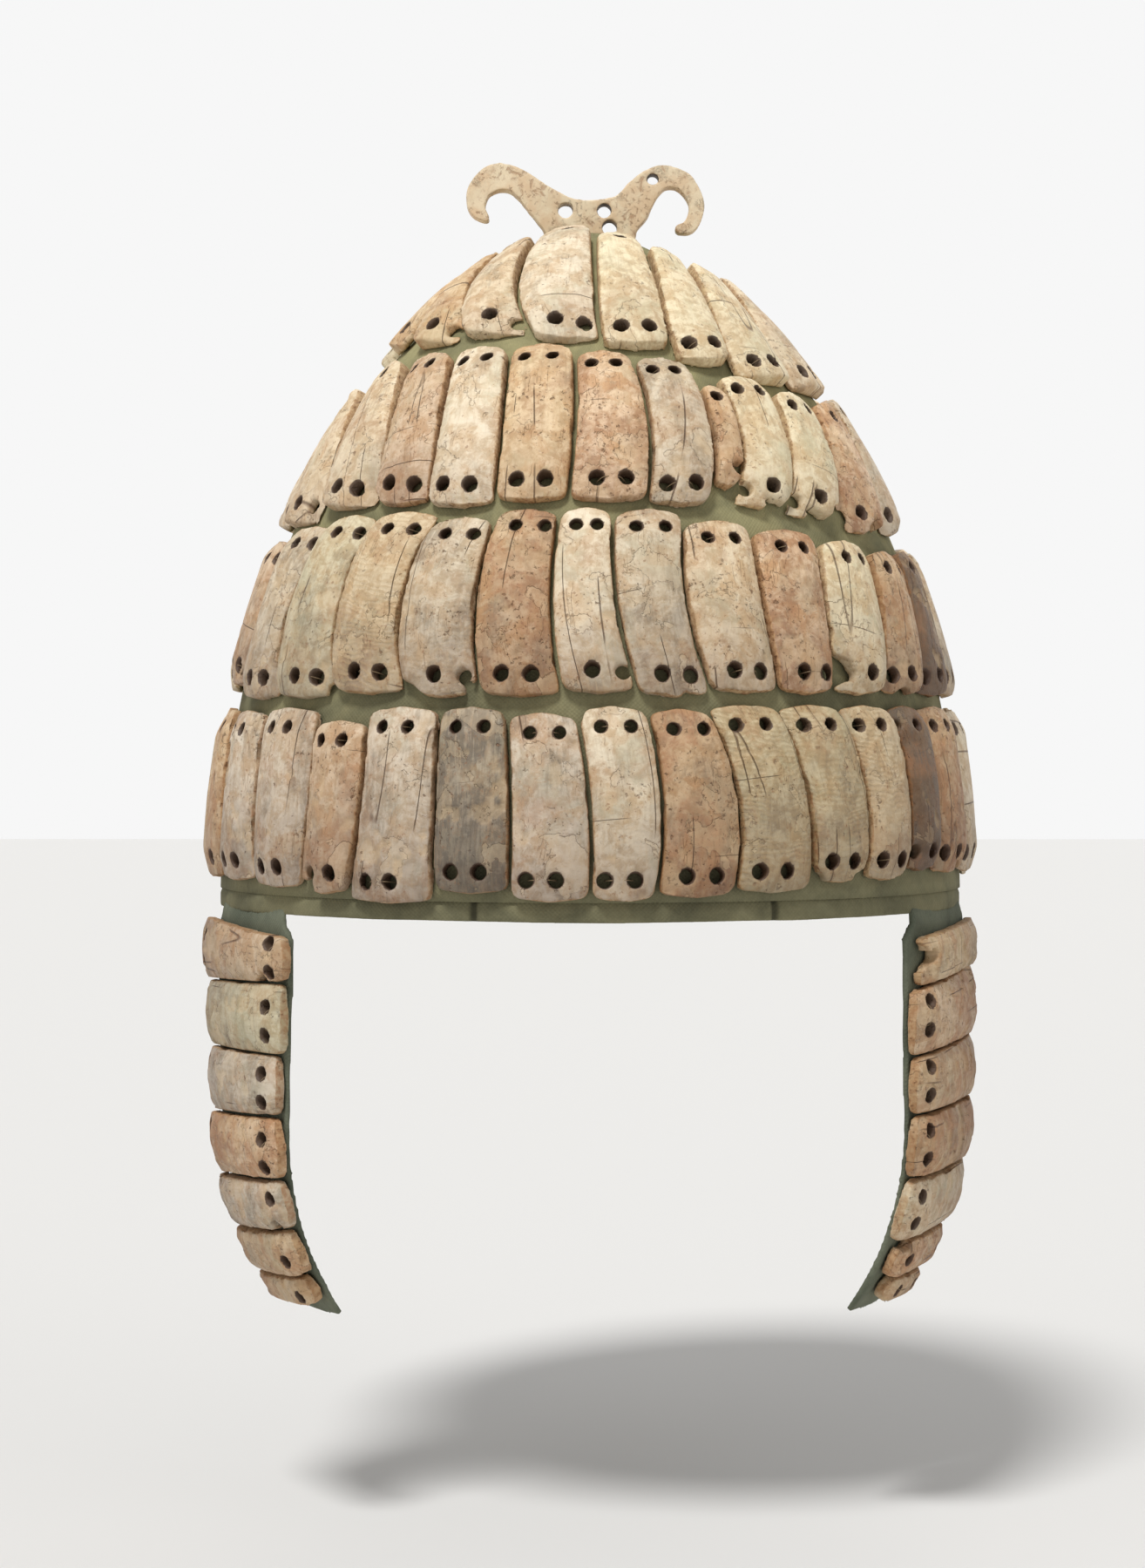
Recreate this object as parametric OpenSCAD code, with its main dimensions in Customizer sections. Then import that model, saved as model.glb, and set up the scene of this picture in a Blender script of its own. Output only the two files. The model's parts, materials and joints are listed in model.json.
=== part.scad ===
// Helmet of split boar tusk plates sewn in four rows onto a tall cloth cap, with a horned bone crest
// and two hanging cheek guards. Millimetres. The front faces -Y, +Z is up, and the origin is the
// middle of the head opening at the brim. Left and right are the wearer's, so right is at -X.

/* [Cap] */
// Outside width of the cap at the brim, side to side
cap_w = 208; // [198:1:218]
// Straight part in each side, which makes the cap longer front to back than it is wide
cap_straight = 20; // [14:1:26]
// Height of the cap from brim to crown
cap_h = 189; // [182:1:196]
// Thickness of the outer cloth
cloth_t = 2; // [1.5:0.1:2.5]
// Thickness of the felt lining
felt_t = 4; // [3:0.5:5]
// Height of the folded hem that closes the lower edge
hem_h = 5; // [4:0.5:6]
// Clearance between the layers of the cap
layer_fit = 0.2; // [0.15:0.05:0.3]

/* [Inner thongs] */
// Width of the leather thongs that run from the hem to the crown
thong_w = 7; // [5:0.5:9]
// Thickness of the leather thongs
thong_t = 1.5; // [1.2:0.1:2]
// Number of thongs that cross at the crown
thong_count = 4; // [3:1:6]
// Height of each round thong's middle above the brim
ring_heights = [30, 75, 115]; // [20:1:125]

/* [Tusk plates] */
// Thickness of a plate at its middle
plate_t = 5; // [4:0.25:5.5]
// Radius of the crown across a plate's face
crown_r = 28; // [24:1:40]
// Gap between neighbouring plates
plate_gap = 0.6; // [0.5:0.1:1.6]
// Clearance between a plate's back and the cap
plate_seat = 0.3; // [0.25:0.05:0.6]
// How far a plate's corners are cut back
corner = 2.2; // [1:0.1:3]
// How far a plate's ends swell past its corners
end_swell = 0.9; // [0:0.1:1.5]
// Radius of the holes drilled at the foot of each plate
foot_hole_r = 2; // [1.7:0.1:2.6]
// Radius of the holes drilled at the head of each plate
head_hole_r = 1.7; // [1.4:0.1:2.2]
// Distance from a plate's end to the middle of its holes
hole_inset = 4.5; // [4.2:0.1:6.5]
// Distance between the middles of two neighbouring holes
hole_pitch = 7.6; // [6.6:0.1:8]
// Least width of tusk left between a hole and the plate's side
hole_wall = 2.2; // [1.5:0.1:3]

/* [Crest] */
// Thickness of the crest
crest_t = 7; // [5:0.5:9]
// How far the crest rests clear of the crown
crest_seat = 0.4; // [0.3:0.05:0.6]
// Radius of the saddle between the horns
saddle_r = 17; // [15:0.5:20]
// Height of the saddle's lowest point above the crown
saddle_z = 10.8; // [10:0.1:12]
// Half width of the crest's foot
foot_x = 11.5; // [10:0.5:13]
// Radius of the three holes in the crest's neck
neck_hole_r = 1.8; // [1.5:0.1:2]
// Radius of the tie hole in the left horn's arm
tie_hole_r = 1.4; // [1:0.1:1.7]

/* [Cheek guards] */
// Bearing of the right guard's middle from the front, in degrees
right_bearing = 63; // [58:1:68]
// Bearing of the left guard's middle from the front, in degrees
left_bearing = 67; // [62:1:70]
// Width of a guard's cloth at its top
guard_w = 53; // [50:1:56]
// Width of a guard's cloth where it starts to bend
guard_bend_w = 48; // [46:1:52]
// Width of a guard's cloth at its tip
guard_tip_w = 32; // [28:1:36]
// Radius that a guard's cloth and plates follow round the face
guard_curve_r = 160; // [130:5:220]
// Thickness of a guard's cloth
guard_t = 1.6; // [1.2:0.1:2]
// Length of each guard's straight part
guard_straight = 52; // [48:1:56]
// Length of each guard's bent part, along the bend
guard_bent = 59; // [56:1:64]
// Radius of the bend towards the jaw
guard_bend_r = 90; // [75:1:100]
// Lean that hangs the right guard's weight straight under its hinge, in degrees
right_lean = 0.3; // [-3:0.1:3]
// Lean that hangs the left guard's weight straight under its hinge, in degrees
left_lean = 0.8; // [-3:0.1:3]
// Thickness of the guards' plates
guard_plate_t = 5; // [4:0.25:5.5]
// Gap between a guard's cloth and the hem it hangs from
hinge_gap = 0.9; // [0.8:0.05:0.95]
// Radius of the holes drilled in the guards' plates
guard_hole_r = 1.9; // [1.6:0.1:2.2]
// Distance from a guard plate's end to the middle of its holes
guard_hole_inset = 5.4; // [5:0.1:7]
// Distance between the middles of the holes at each end of a guard plate
guard_hole_pitch = 7.6; // [7:0.1:8]
// Least width of tusk left between a guard plate's holes and its side
guard_hole_wall = 1.2; // [0.8:0.1:2]

/* [Hidden] */
SECTORS = ["front", "front_left", "left", "back_left", "back", "back_right", "right", "front_right"];
RINGS = ["low", "middle", "high"];
$fn = 64;
big_round = 360;

// The dome's outline is a superellipse, nearly upright at the brim and nearly conical above
dome_p = 2.05;
dome_q = 1.6;
dome_steps = 16;
side = cap_straight / 2;

// A plate's back is this much flatter than what it lies on
back_ease = 1.15;
// Radius across the backs of plates that lie on a flat side
flat_r = 400;
// How far a plate's bar runs on past its outline, and how deep the cuts through a plate reach
bar_spare = 6;
cut_depth = 30;
// Share of a corner's cut by which its end is drawn in
corner_in = 0.3;

ivory = "#dccba6";
bone = "#d8c7a6";
cloth = "#8d8764";
hide = "#7a5233";
felt = "#b7ab93";
linen = "#d9d2bd";

// Each row's seams from the wearer's right to left across the front, as bearings in degrees at the
// plates' foot, middle and head. Plate n lies between seams n and n + 1.
row_seams = [
  [[-82, -92, -118], [-58, -70, -98], [-37, -50.5, -75], [-15, -29, -47], [3, 2, 4], [21.5, 24, 39],
   [37, 40.5, 56], [57, 60, 78], [80, 84, 104]],
  [[-76, -82, -90], [-57, -64, -72], [-42, -46, -54], [-30, -32, -37], [-17, -18, -21], [-4, -3, -4],
   [10, 12, 10], [22, 25, 24], [27, 31, 30], [37, 43, 44], [48, 56, 59], [64, 73, 77]],
  [[-83, -84, -81], [-69, -71, -66], [-55, -58, -52], [-41, -44, -40], [-28, -31, -27],
   [-16, -18, -16], [-4, -6, -5], [7, 4, 4], [18, 15, 16], [29, 28, 28], [39, 40, 42], [50, 54, 55],
   [61, 66, 67], [74, 79, 80]],
  [[-70, -71, -72], [-57, -58, -58], [-45, -44, -44], [-36, -34, -34], [-22, -22, -22],
   [-11, -11, -12], [0, 0, -2], [9, 10, 8], [20, 21, 17], [32, 32, 28], [42, 43, 39], [51, 53, 50],
   [59, 62, 59], [71, 75, 72]]];

// Each front plate's ends: height of its foot and head in hundredths of the cap's height, and how far
// its pair of holes lies left or right of its middle at the foot and at the head
row_ends = [
  [[81, 93.7, 0, 0], [80.4, 95.2, -1, 0], [81, 96.8, 0, 0], [79.9, 98.2, 0, 0], [78.8, 97, 0, 0],
   [76.7, 95.2, 0, 0], [74.6, 92.8, 0, 0], [74.1, 91.5, 0, 0]],
  [[55, 74.6, 0, 0], [56.6, 77.8, -1, 0], [56.6, 78.3, 0, 0], [56.1, 78.6, -1, 0], [56.6, 78.6, 0, 0],
   [56.6, 77.5, 1, 0], [56.1, 76.7, 1, 0], [58.7, 73, 0, 0], [56.1, 74.3, 0, 0], [55, 72.5, 0, 0],
   [53.4, 71.7, 0, 0]],
  [[32.3, 52.4, 0, 1], [30.2, 54, 0, 0], [30.2, 55, 1, 0], [30.7, 55, 0, 0], [30.2, 54, 2, 0],
   [30.2, 55, -1, 1], [30.7, 55, 2, 0], [30.2, 54.8, 0, 0], [30.7, 53.4, 0, 0], [30.7, 52.4, 2, 0],
   [30.7, 51.3, 0, 1], [30.7, 50.3, 0, 0], [30.7, 50.8, 0, 0]],
  [[4.8, 28, -1, -1], [4.2, 28.3, -1, -1], [3.7, 26.5, 0, -1], [2.7, 28.3, -2, -1], [4.2, 28.3, -1, 0],
   [3.2, 27.5, -2, 1], [3.2, 28.3, -1, 1], [3.7, 28, 1, 2], [4.2, 28.6, -1, 1], [5.3, 28.6, 0, 1],
   [5.3, 28.6, 1, 0], [6.3, 28.6, 0, -1], [5.8, 28.6, 0, 0]]];

// What the sides and back of each row run to: foot and head, and plates past the front ones
row_back = [[78.8, 95, 10], [55.6, 75.9, 16], [30.7, 52.9, 18], [4.2, 28, 20]];

// Broken edges of the front plates: row, plate, place across (-1 to 1) and up (0 to 1), and size
breaks = [
  [1, 0, 0.7, 0.05, 6], [1, 1, 1.1, 0.12, 3.4], [1, 3, 1.1, 1, 3],
  [2, 2, -1, 0, 3], [2, 8, 0.5, -0.03, 4.2], [2, 8, -0.6, -0.05, 3], [2, 9, 0.1, -0.02, 3.6],
  [2, 9, 1, 0.02, 3], [2, 10, 0.7, 0, 4],
  [3, 0, 0.9, 0.02, 5], [3, 2, 0.9, -0.02, 5], [3, 4, -1, -0.01, 5], [3, 4, 1, 0.02, 4.6],
  [3, 7, 0.3, -0.03, 2.8], [3, 10, -1.15, 0.18, 7.5], [3, 10, -1.3, 0.42, 5], [3, 11, 0.1, -0.04, 4],
  [4, 2, -0.9, -0.02, 6], [4, 6, -1.1, 0.97, 4.4], [4, 9, 1, -0.02, 5], [4, 9, -1, 0.02, 4],
  [4, 12, 0.6, -0.02, 4]];

// The seams between each guard's plates, from the top: distance down the guard at its front and at
// its back edge. Plate n lies between seams n and n + 1, and has its own length across the guard.
right_seams = [[4, 1.2], [16.5, 18.5], [35.5, 36.5], [51.5, 54.5], [68, 71.5], [81.5, 86.5], [95, 99.5],
  [104, 108.5]];
right_lengths = [57, 54, 49, 49, 47, 43, 37];
left_seams = [[5, 1.2], [18.5, 14], [36.5, 33.5], [52, 50.5], [69, 67.5], [86.5, 84.5], [98, 97],
  [106, 105]];
left_lengths = [48, 53, 51, 50, 48, 34, 24];

// Broken edges of the guards' plates: hand (-1 right, 1 left), plate, place along, place down, size
guard_breaks = [[-1, 0, 19, 7.2, 4], [-1, 0, 25, 9, 4.4], [1, 0, -23, 1, 4.6], [-1, 6, 16, 5, 3.4],
  [1, 5, -15, -5, 3.4]];

// Geometry of the dome

function dome(r, h, z) = r * pow(1 - pow(min(max(z, 0), h) / h, dome_p), 1 / dome_q);
function cap_r(z) = dome(cap_w / 2, cap_h, z);
function cap_slope(z) = cap_r(z + 0.5) - cap_r(z - 0.5);
function profile(inset, low) = let(r = cap_w / 2 - inset, h = cap_h - inset)
  [for (i = [0:dome_steps]) let(z = low + (h - low) * sin(90 * i / dome_steps)) [dome(r, h, z), z]];

// The straight side's share of a row's bearings, in degrees, where the row's radius is r
function side_share(r) = cap_straight / r * 180 / PI;

// Plan direction and centre for a bearing v that runs on through the straight sides
function turn(v, share) = let(a = abs(v))
  sign(v) * (a <= 90 ? a : a <= 90 + share ? 90 : a - share);
function centre_y(v, share) = let(a = abs(v))
  a <= 90 ? -side : a <= 90 + share ? -side + cap_straight * (a - 90) / share : side;
function on_cap(v, z, share) = let(a = turn(v, share), r = cap_r(z))
  [r * sin(a), centre_y(v, share) - r * cos(a), z];

// Local frame of a plate: t runs across, m up the dome and n out of it
function across(a) = [cos(a), sin(a), 0];
function outward(a, z) = let(n = [sin(a), -cos(a), -cap_slope(z)]) n / norm(n);
function frame(p, t, n) = let(m = cross(n, t))
  [[t[0], m[0], n[0], p[0]], [t[1], m[1], n[1], p[1]], [t[2], m[2], n[2], p[2]], [0, 0, 0, 1]];
function flat(q, p, t, n) = [(q - p) * t, (q - p) * cross(n, t)];

// Radius of the arc through three points of the dome's outline
function bend(low, high) = let(a = [cap_r(low), low], c = [cap_r(high), high],
  b = [cap_r((low + high) / 2), (low + high) / 2], chord = norm(c - a), sag = norm(b - (a + c) / 2))
  min(chord * chord / (8 * max(sag, 0.05)), 600);
function plate_bend(low, high) = let(mid = (low + high) / 2) max(bend(low, mid), bend(mid, high));

// Seams and ends of a whole row, the front as listed and the rest spaced evenly round to it
function wave(i, k) = sin(i * 137.5 + k * 71);
function row_share(row) = side_share(cap_r((row_back[row - 1][0] + row_back[row - 1][1]) * cap_h / 200));
function back_seam(row, i) = let(front = row_seams[row - 1], count = row_back[row - 1][2],
  bow = row % 2 == 0 ? 2 : -2, first = front[0], last = front[len(front) - 1],
  full = 360 + 2 * row_share(row))
  last + (first + full * [1, 1, 1] - last) * i / count
  + (i == count ? 0 : 1) * [wave(i, row), wave(i, row) + bow, wave(i, row)];
function seams(row) = concat(row_seams[row - 1], [for (i = [1:row_back[row - 1][2]]) back_seam(row, i)]);
function back_end(row, i) = let(front = row_ends[row - 1], back = row_back[row - 1], t = i / (back[2] + 1),
  w = sqrt(sin(180 * t)), side = front[len(front) - 1] * (1 - t) + front[0] * t)
  [side[0] * (1 - w) + back[0] * w + wave(i, row) / 2, side[1] * (1 - w) + back[1] * w + wave(i, row + 4) / 2,
   0, 0];
function ends(row) = let(count = row_back[row - 1][2], scale = cap_h / 100)
  [for (e = concat(row_ends[row - 1], [for (i = [1:count]) back_end(row, i)]))
    [e[0] * scale, e[1] * scale, e[2], e[3]]];
function wrap(v, row) = let(full = 180 + row_share(row)) v > full ? v - 2 * full : v;

// Bearing of seam k at a height, the same for the plates on both sides of it
function seam_at(s, e, k, z) = let(n = len(e), below = e[(k + n - 1) % n], above = e[k % n],
  low = (below[0] + above[0]) / 2, high = (below[1] + above[1]) / 2) curve(s[k], (z - low) / (high - low));

// Outline of a plate from three points up each side, with its corners cut and its ends swollen
function curve(p, s) = p[0] * (1 - s) * (1 - 2 * s) + p[1] * 4 * s * (1 - s) + p[2] * s * (2 * s - 1);
function outline(left, right, inset, steps = 4) = let(
  length = norm(left[2] - left[0]), c = corner / length, cut = [corner, 0],
  l = [for (q = left) q + [inset, 0]], r = [for (q = right) q - [inset, 0]],
  in = cut * corner_in, up = [0, corner * corner_in], swell = [0, end_swell])
  concat([for (i = [0:steps]) curve(r, c + (1 - 2 * c) * i / steps)], [r[2] - in - up],
    [r[2] - cut, (l[2] + r[2]) / 2 + swell, l[2] + cut], [l[2] + in - up],
    [for (i = [steps:-1:0]) curve(l, c + (1 - 2 * c) * i / steps)], [l[0] + in + up],
    [l[0] + cut, (l[0] + r[0]) / 2 - swell, r[0] - cut], [r[0] - in + up]);

// Everything that one plate of a row needs: [placement, left side, right side, radii, hole shifts]
function plate(row, i) = let(
  s = seams(row), all = ends(row), e = all[i], share = row_share(row), z = [e[0], (e[0] + e[1]) / 2, e[1]],
  v = wrap((s[i][1] + s[i + 1][1]) / 2, row), a = turn(v, share), p = on_cap(v, z[1], share),
  t = across(a), n = outward(a, z[1]),
  edge = function(k) [for (h = z) flat(on_cap(wrap(seam_at(s, all, k, h), row), h, share), p, t, n)],
  half_turn = (s[i + 1][1] - s[i][1]) / 2, on_round = abs(abs(v) - 90 - share / 2) > share / 2 + half_turn)
  [frame(p, t, n), edge(i), edge(i + 1),
   [plate_bend(e[0], e[1]), on_round ? cap_r(z[1]) / norm([n[0], n[1]]) : flat_r], [e[2], e[3]]];
function sector_of(row, i) = let(s = seams(row), v = wrap((s[i][1] + s[i + 1][1]) / 2, row),
  full = 180 + row_share(row)) (round(v / full * 4) + 8) % 8;

// Tusk plates

// A bar of tusk along Y, curved along its length by along_r and crowned across, its back resting at
// height seat and never tighter than the dome under it
module tusk_bar(along_r, across_r, thick, seat, reach) {
  back_r = along_r * back_ease;
  belly_r = across_r * back_ease;
  span = asin(min(reach / along_r, 0.9));
  top = back_r + seat + thick;
  translate([0, 0, -back_r]) rotate([0, -90, 0]) rotate(-span)
    rotate_extrude(angle = 2 * span, $fn = big_round) difference() {
      translate([top - crown_r, 0]) circle(r = crown_r, $fn = 2 * $fn);
      translate([back_r + seat - belly_r, 0]) circle(r = belly_r, $fn = big_round);
    }
}

// A jagged bite out of an edge, as where tusk has broken away
module bite(size, k) {
  points = 9;
  polygon([for (j = [0:points - 1]) let(a = j * 360 / points)
    size * (0.8 + 0.25 * wave(j, k)) * [cos(a), sin(a)]]);
}

function middle(left, right, u, s) = (curve(left, s) * (1 - u) + curve(right, s) * (1 + u)) / 2;

module row_plate(row, i) {
  d = plate(row, i);
  reach = norm(d[1][2] - d[2][0]) / 2 + bar_spare;
  multmatrix(d[0]) difference() {
    intersection() {
      translate([0, 0, -cut_depth / 2]) linear_extrude(cut_depth) difference() {
        polygon(outline(d[1], d[2], plate_gap / 2));
        for (b = breaks)
          if (b[0] == row && b[1] == i)
            translate(middle(d[1], d[2], b[2], b[3])) bite(b[4], row + i + b[2]);
      }
      tusk_bar(d[3][0], d[3][1], plate_t, plate_seat, reach);
    }
    for (p = hole_places(d)) translate([p[0], p[1], -cut_depth / 2]) cylinder(r = p[2], h = cut_depth);
  }
}

// Middles and radii of a plate's four holes. A narrow head has one hole instead of two.
function head_pair(d) = min(hole_pitch / 2, norm(d[2][2] - d[1][2]) / 2 - head_hole_r - hole_wall);
function hole_places(d) = let(foot = (d[1][0] + d[2][0]) / 2, head = (d[1][2] + d[2][2]) / 2,
  w = head_pair(d))
  concat(
    [for (k = [-1, 1]) [foot[0] + d[4][0] + k * hole_pitch / 2, foot[1] + hole_inset, foot_hole_r]],
    [for (k = w > head_hole_r + plate_gap ? [-1, 1] : [0])
      [head[0] + d[4][1] + k * w, head[1] - hole_inset, head_hole_r]]);

module row_sector(row, sector) {
  color(ivory)
    for (i = [0:len(ends(row)) - 1])
      if (sector_of(row, i) == sector) row_plate(row, i);
}

// Cap

// Sweeps a half outline round the cap's plan, two half rounds joined by straight sides
module round_plan() {
  for (a = [0, 180]) rotate(a) translate([0, side, 0]) rotate_extrude(angle = 180) children();
  for (a = [0, 180])
    rotate(a) translate([0, side, 0]) rotate([90, 0, 0]) linear_extrude(cap_straight) children();
}

// Half outline of a layer of the cap, from one depth under the outside to another, above a height
module layer(outer, inner, low) {
  difference() {
    polygon(concat([[0, low]], profile(outer, low), [[0, cap_h - outer]]));
    polygon(concat([[0, low - 1], [cap_w / 2 - inner, low - 1]], profile(inner, low),
      [[0, cap_h - inner]]));
  }
}

felt_out = cloth_t + layer_fit;
felt_in = felt_out + felt_t;
web_out = felt_in + layer_fit;
web_in = web_out + thong_t;
ring_out = web_in + layer_fit;
layer_low = hem_h + layer_fit;

module cap_cloth() {
  color(cloth) round_plan() layer(0, cloth_t, layer_low);
}

module felt_lining() {
  color(felt) round_plan() layer(felt_out, felt_in, layer_low);
}

// The cloth folded under the felt's lower edge
module hem_band() {
  color(cloth) round_plan() polygon([[cap_w / 2 - felt_in, 0], [cap_w / 2, 0],
    [cap_r(hem_h), hem_h], [cap_r(hem_h) - felt_in, hem_h]]);
}

module thong_web() {
  reach = cap_w + cap_straight;
  color(hide) intersection() {
    round_plan() layer(web_out, web_in, layer_low);
    for (i = [0:thong_count - 1])
      rotate(90 + 180 * i / thong_count) translate([-reach, -thong_w / 2, 0])
        cube([2 * reach, thong_w, cap_h]);
  }
}

// A round thong inside the crossing ones, which are tied to it
module thong_ring(z) {
  low = z - thong_w / 2;
  high = z + thong_w / 2;
  r0 = dome(cap_w / 2 - ring_out, cap_h - ring_out, low);
  r1 = dome(cap_w / 2 - ring_out, cap_h - ring_out, high);
  color(hide) round_plan() polygon([[r0 - thong_t, low], [r0, low], [r1, high], [r1 - thong_t, high]]);
}

// Crest

// Each horn as round sections from its root to its tip: place across, height above the crown, radius
right_horn = [[-14.2, 10.5, 4.9], [-20.5, 16.1, 3.9], [-26.6, 17.3, 4.2], [-31.1, 14.2, 3.7],
  [-32.4, 10.2, 3.1], [-31.7, 7.5, 2.5], [-29.9, 5.7, 1.6]];
left_horn = [[11.7, 8.5, 5.7], [16.3, 14.6, 4.5], [21.4, 17.3, 3.5], [26.9, 15.6, 3], [30.1, 10.4, 2.7],
  [29.9, 6.1, 2.5], [27.9, 3, 2.3], [25.4, 2.5, 1.7]];
horn_steps = 4;

// The point on the neck's side where it leaves the foot
neck_low = [foot_x + 2, 2];
// How far the round of the saddle runs to either side, and its step
saddle_x = 6;
saddle_step = 2;

// A smooth curve through a list of sections, at share t of the way from section i to the next
function through(s, i, t) = let(a = s[max(i - 1, 0)], b = s[i], c = s[i + 1], d = s[min(i + 2, len(s) - 1)])
  (2 * b + (c - a) * t + (2 * a - 5 * b + 4 * c - d) * t * t + (3 * b - a - 3 * c + d) * t * t * t) / 2;

// The point beside the curve, out by the section's radius, at an angle from the way the horn runs
function beside(s, i, t, turn) = let(p = through(s, i, t), q = through(s, i, t + 0.01) - p,
  way = atan2(q[1], q[0]) + turn) [p[0] + p[2] * cos(way), p[1] + p[2] * sin(way)];
function flank(s, turn) = [for (i = [0:len(s) - 2], j = [0:horn_steps - 1])
  beside(s, i, j / horn_steps, turn)];
function reversed(points) = [for (i = [len(points) - 1:-1:0]) points[i]];

// Around a horn: out along one flank, over its round tip and back along the other
function around(s) = concat(flank(s, -90), [for (turn = [-90:22.5:90]) beside(s, len(s) - 2, 1, turn)],
  reversed(flank(s, 90)));

// Two horns that rise from a saddle and curl down and in to their tips
module crest_outline() {
  polygon(concat([[-foot_x, -saddle_z], [foot_x, -saddle_z], neck_low], around(left_horn),
    [for (x = [saddle_x:-saddle_step:-saddle_x])
      [x, saddle_z + saddle_r - sqrt(saddle_r * saddle_r - x * x)]],
    around(right_horn), [[-neck_low[0], neck_low[1]]]));
}

crest_holes = [[-7, 7.7], [4, 7.5], [5.5, 2.8]];
tie_hole = [17.8, 16.4];

module crest() {
  color(bone) difference() {
    translate([0, crest_t / 2, cap_h]) rotate([90, 0, 0]) linear_extrude(crest_t) difference() {
      crest_outline();
      for (p = crest_holes) translate(p) circle(r = neck_hole_r);
      translate(tie_hole) circle(r = tie_hole_r);
    }
    translate([0, 0, crest_seat]) round_plan() polygon(concat([[0, 0]], profile(0, 0)));
  }
}

// Cheek guards, drawn with the hinge line along Y at the origin and the outside at +X

// Places children on a guard's outer face at a distance down from its hinge, with X out and Z up
module down_guard(s) {
  if (s <= guard_straight) translate([guard_t / 2, 0, -s]) children();
  else {
    a = (s - guard_straight) / guard_bend_r * 180 / PI;
    translate([-guard_bend_r, 0, -guard_straight]) rotate([0, a, 0])
      translate([guard_bend_r + guard_t / 2, 0, 0]) children();
  }
}

// How much thinner the cloth is in its bend, where it is stretched
bend_thinning = 0.1;

// A slice across a guard's cloth, its middle at the distance shift from the middle of the bend
module guard_section(shift, thick) {
  intersection() {
    translate([shift - guard_curve_r, 0]) difference() {
      circle(r = guard_curve_r + thick / 2, $fn = big_round);
      circle(r = guard_curve_r - thick / 2, $fn = big_round);
    }
    translate([shift - guard_w / 2, -guard_w]) square([guard_w, 2 * guard_w]);
  }
}

// Half outline of a guard's cloth as places across and down it, from its top corner to its tip
guard_corner = 5;
guard_shoulder = [3, 15];
guard_edge = [[guard_w / 2 - guard_corner, guard_corner], [guard_w / 2 - guard_corner, 0],
  [guard_w / 2, -guard_corner], [guard_bend_w / 2, -guard_straight],
  [guard_tip_w / 2 + guard_shoulder[0], guard_shoulder[1] - guard_straight - guard_bent],
  [guard_tip_w / 2, -guard_straight - guard_bent]];

module guard_outline() {
  reach = guard_straight + guard_bent;
  rotate([90, 0, 90]) translate([0, 0, -reach]) linear_extrude(2 * reach) polygon(concat(guard_edge,
    [for (i = [len(guard_edge) - 1:-1:0]) [-guard_edge[i][0], guard_edge[i][1]]]));
}

module guard_backing() {
  bend_deg = guard_bent / guard_bend_r * 180 / PI;
  color(cloth) {
    intersection() {
      translate([0, 0, -guard_straight]) linear_extrude(guard_straight) guard_section(0, guard_t);
      guard_outline();
    }
    intersection() {
      translate([-guard_bend_r, 0, -guard_straight]) rotate([90, 0, 0]) rotate(-bend_deg)
        rotate_extrude(angle = bend_deg, $fn = big_round)
          guard_section(guard_bend_r, guard_t - bend_thinning);
      guard_outline();
    }
  }
}

// Distance down a guard of a seam, at a place y along it
function seam_down(seam, y, hand) = (seam[0] + seam[1]) / 2 + hand * (seam[1] - seam[0]) * y / guard_w;

module guard_plate(hand, i) {
  seams = hand < 0 ? right_seams : left_seams;
  length = (hand < 0 ? right_lengths : left_lengths)[i];
  place = (seams[i][0] + seams[i][1] + seams[i + 1][0] + seams[i + 1][1]) / 4;
  edge = function(k) [for (f = [-0.5, 0, 0.5]) [seam_down(seams[k], f * length, hand) - place, f * length]];
  upper = edge(i);
  lower = edge(i + 1);
  half = (lower[1][0] - upper[1][0]) / 2;
  color(ivory) down_guard(place) rotate([0, 90, 0]) difference() {
    intersection() {
      translate([0, 0, -cut_depth / 2]) linear_extrude(cut_depth) difference() {
        polygon(outline(upper, lower, plate_gap / 2));
        for (b = guard_breaks)
          if (b[0] == hand && b[1] == i) translate([b[3], b[2]]) bite(b[4], i + b[2]);
      }
      tusk_bar(guard_curve_r, flat_r, guard_plate_t, plate_seat, length / 2 + bar_spare);
    }
    for (y = [-1, 1], x = half > guard_hole_pitch / 2 + guard_hole_r + guard_hole_wall ? [-1, 1] : [0])
      translate([x * guard_hole_pitch / 2, y * (length / 2 - guard_hole_inset), -cut_depth / 2])
        cylinder(r = guard_hole_r, h = cut_depth);
  }
}

// Hangs a guard from the hem, at its bearing, on the right (-1) or the left (1)
module hang(hand) {
  a = hand < 0 ? -right_bearing : left_bearing;
  r = (cap_w - guard_t) / 2;
  translate([r * sin(a), -side - r * cos(a), -hinge_gap]) rotate(a - 90)
    rotate([0, hand < 0 ? right_lean : left_lean, 0]) children();
}

module right_cheek_plate(i) {
  hang(-1) guard_plate(-1, i);
}

module left_cheek_plate(i) {
  hang(1) guard_plate(1, i);
}

cap_cloth();
felt_lining();
hem_band();
thong_web();
for (k = [0:2])
  thong_ring(ring_heights[k]);
crest();
for (row = [1:4], k = [0:7])
  row_sector(row, k);
hang(-1) guard_backing();  // right_cheek_backing
hang(1) guard_backing();  // left_cheek_backing
for (i = [0:6])
  right_cheek_plate(i);
for (i = [0:6])
  left_cheek_plate(i);
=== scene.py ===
"""Dresses the boar tusk helmet: worn tusk plates, bone crest, cloth cap, lining and cheek guards."""

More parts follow.
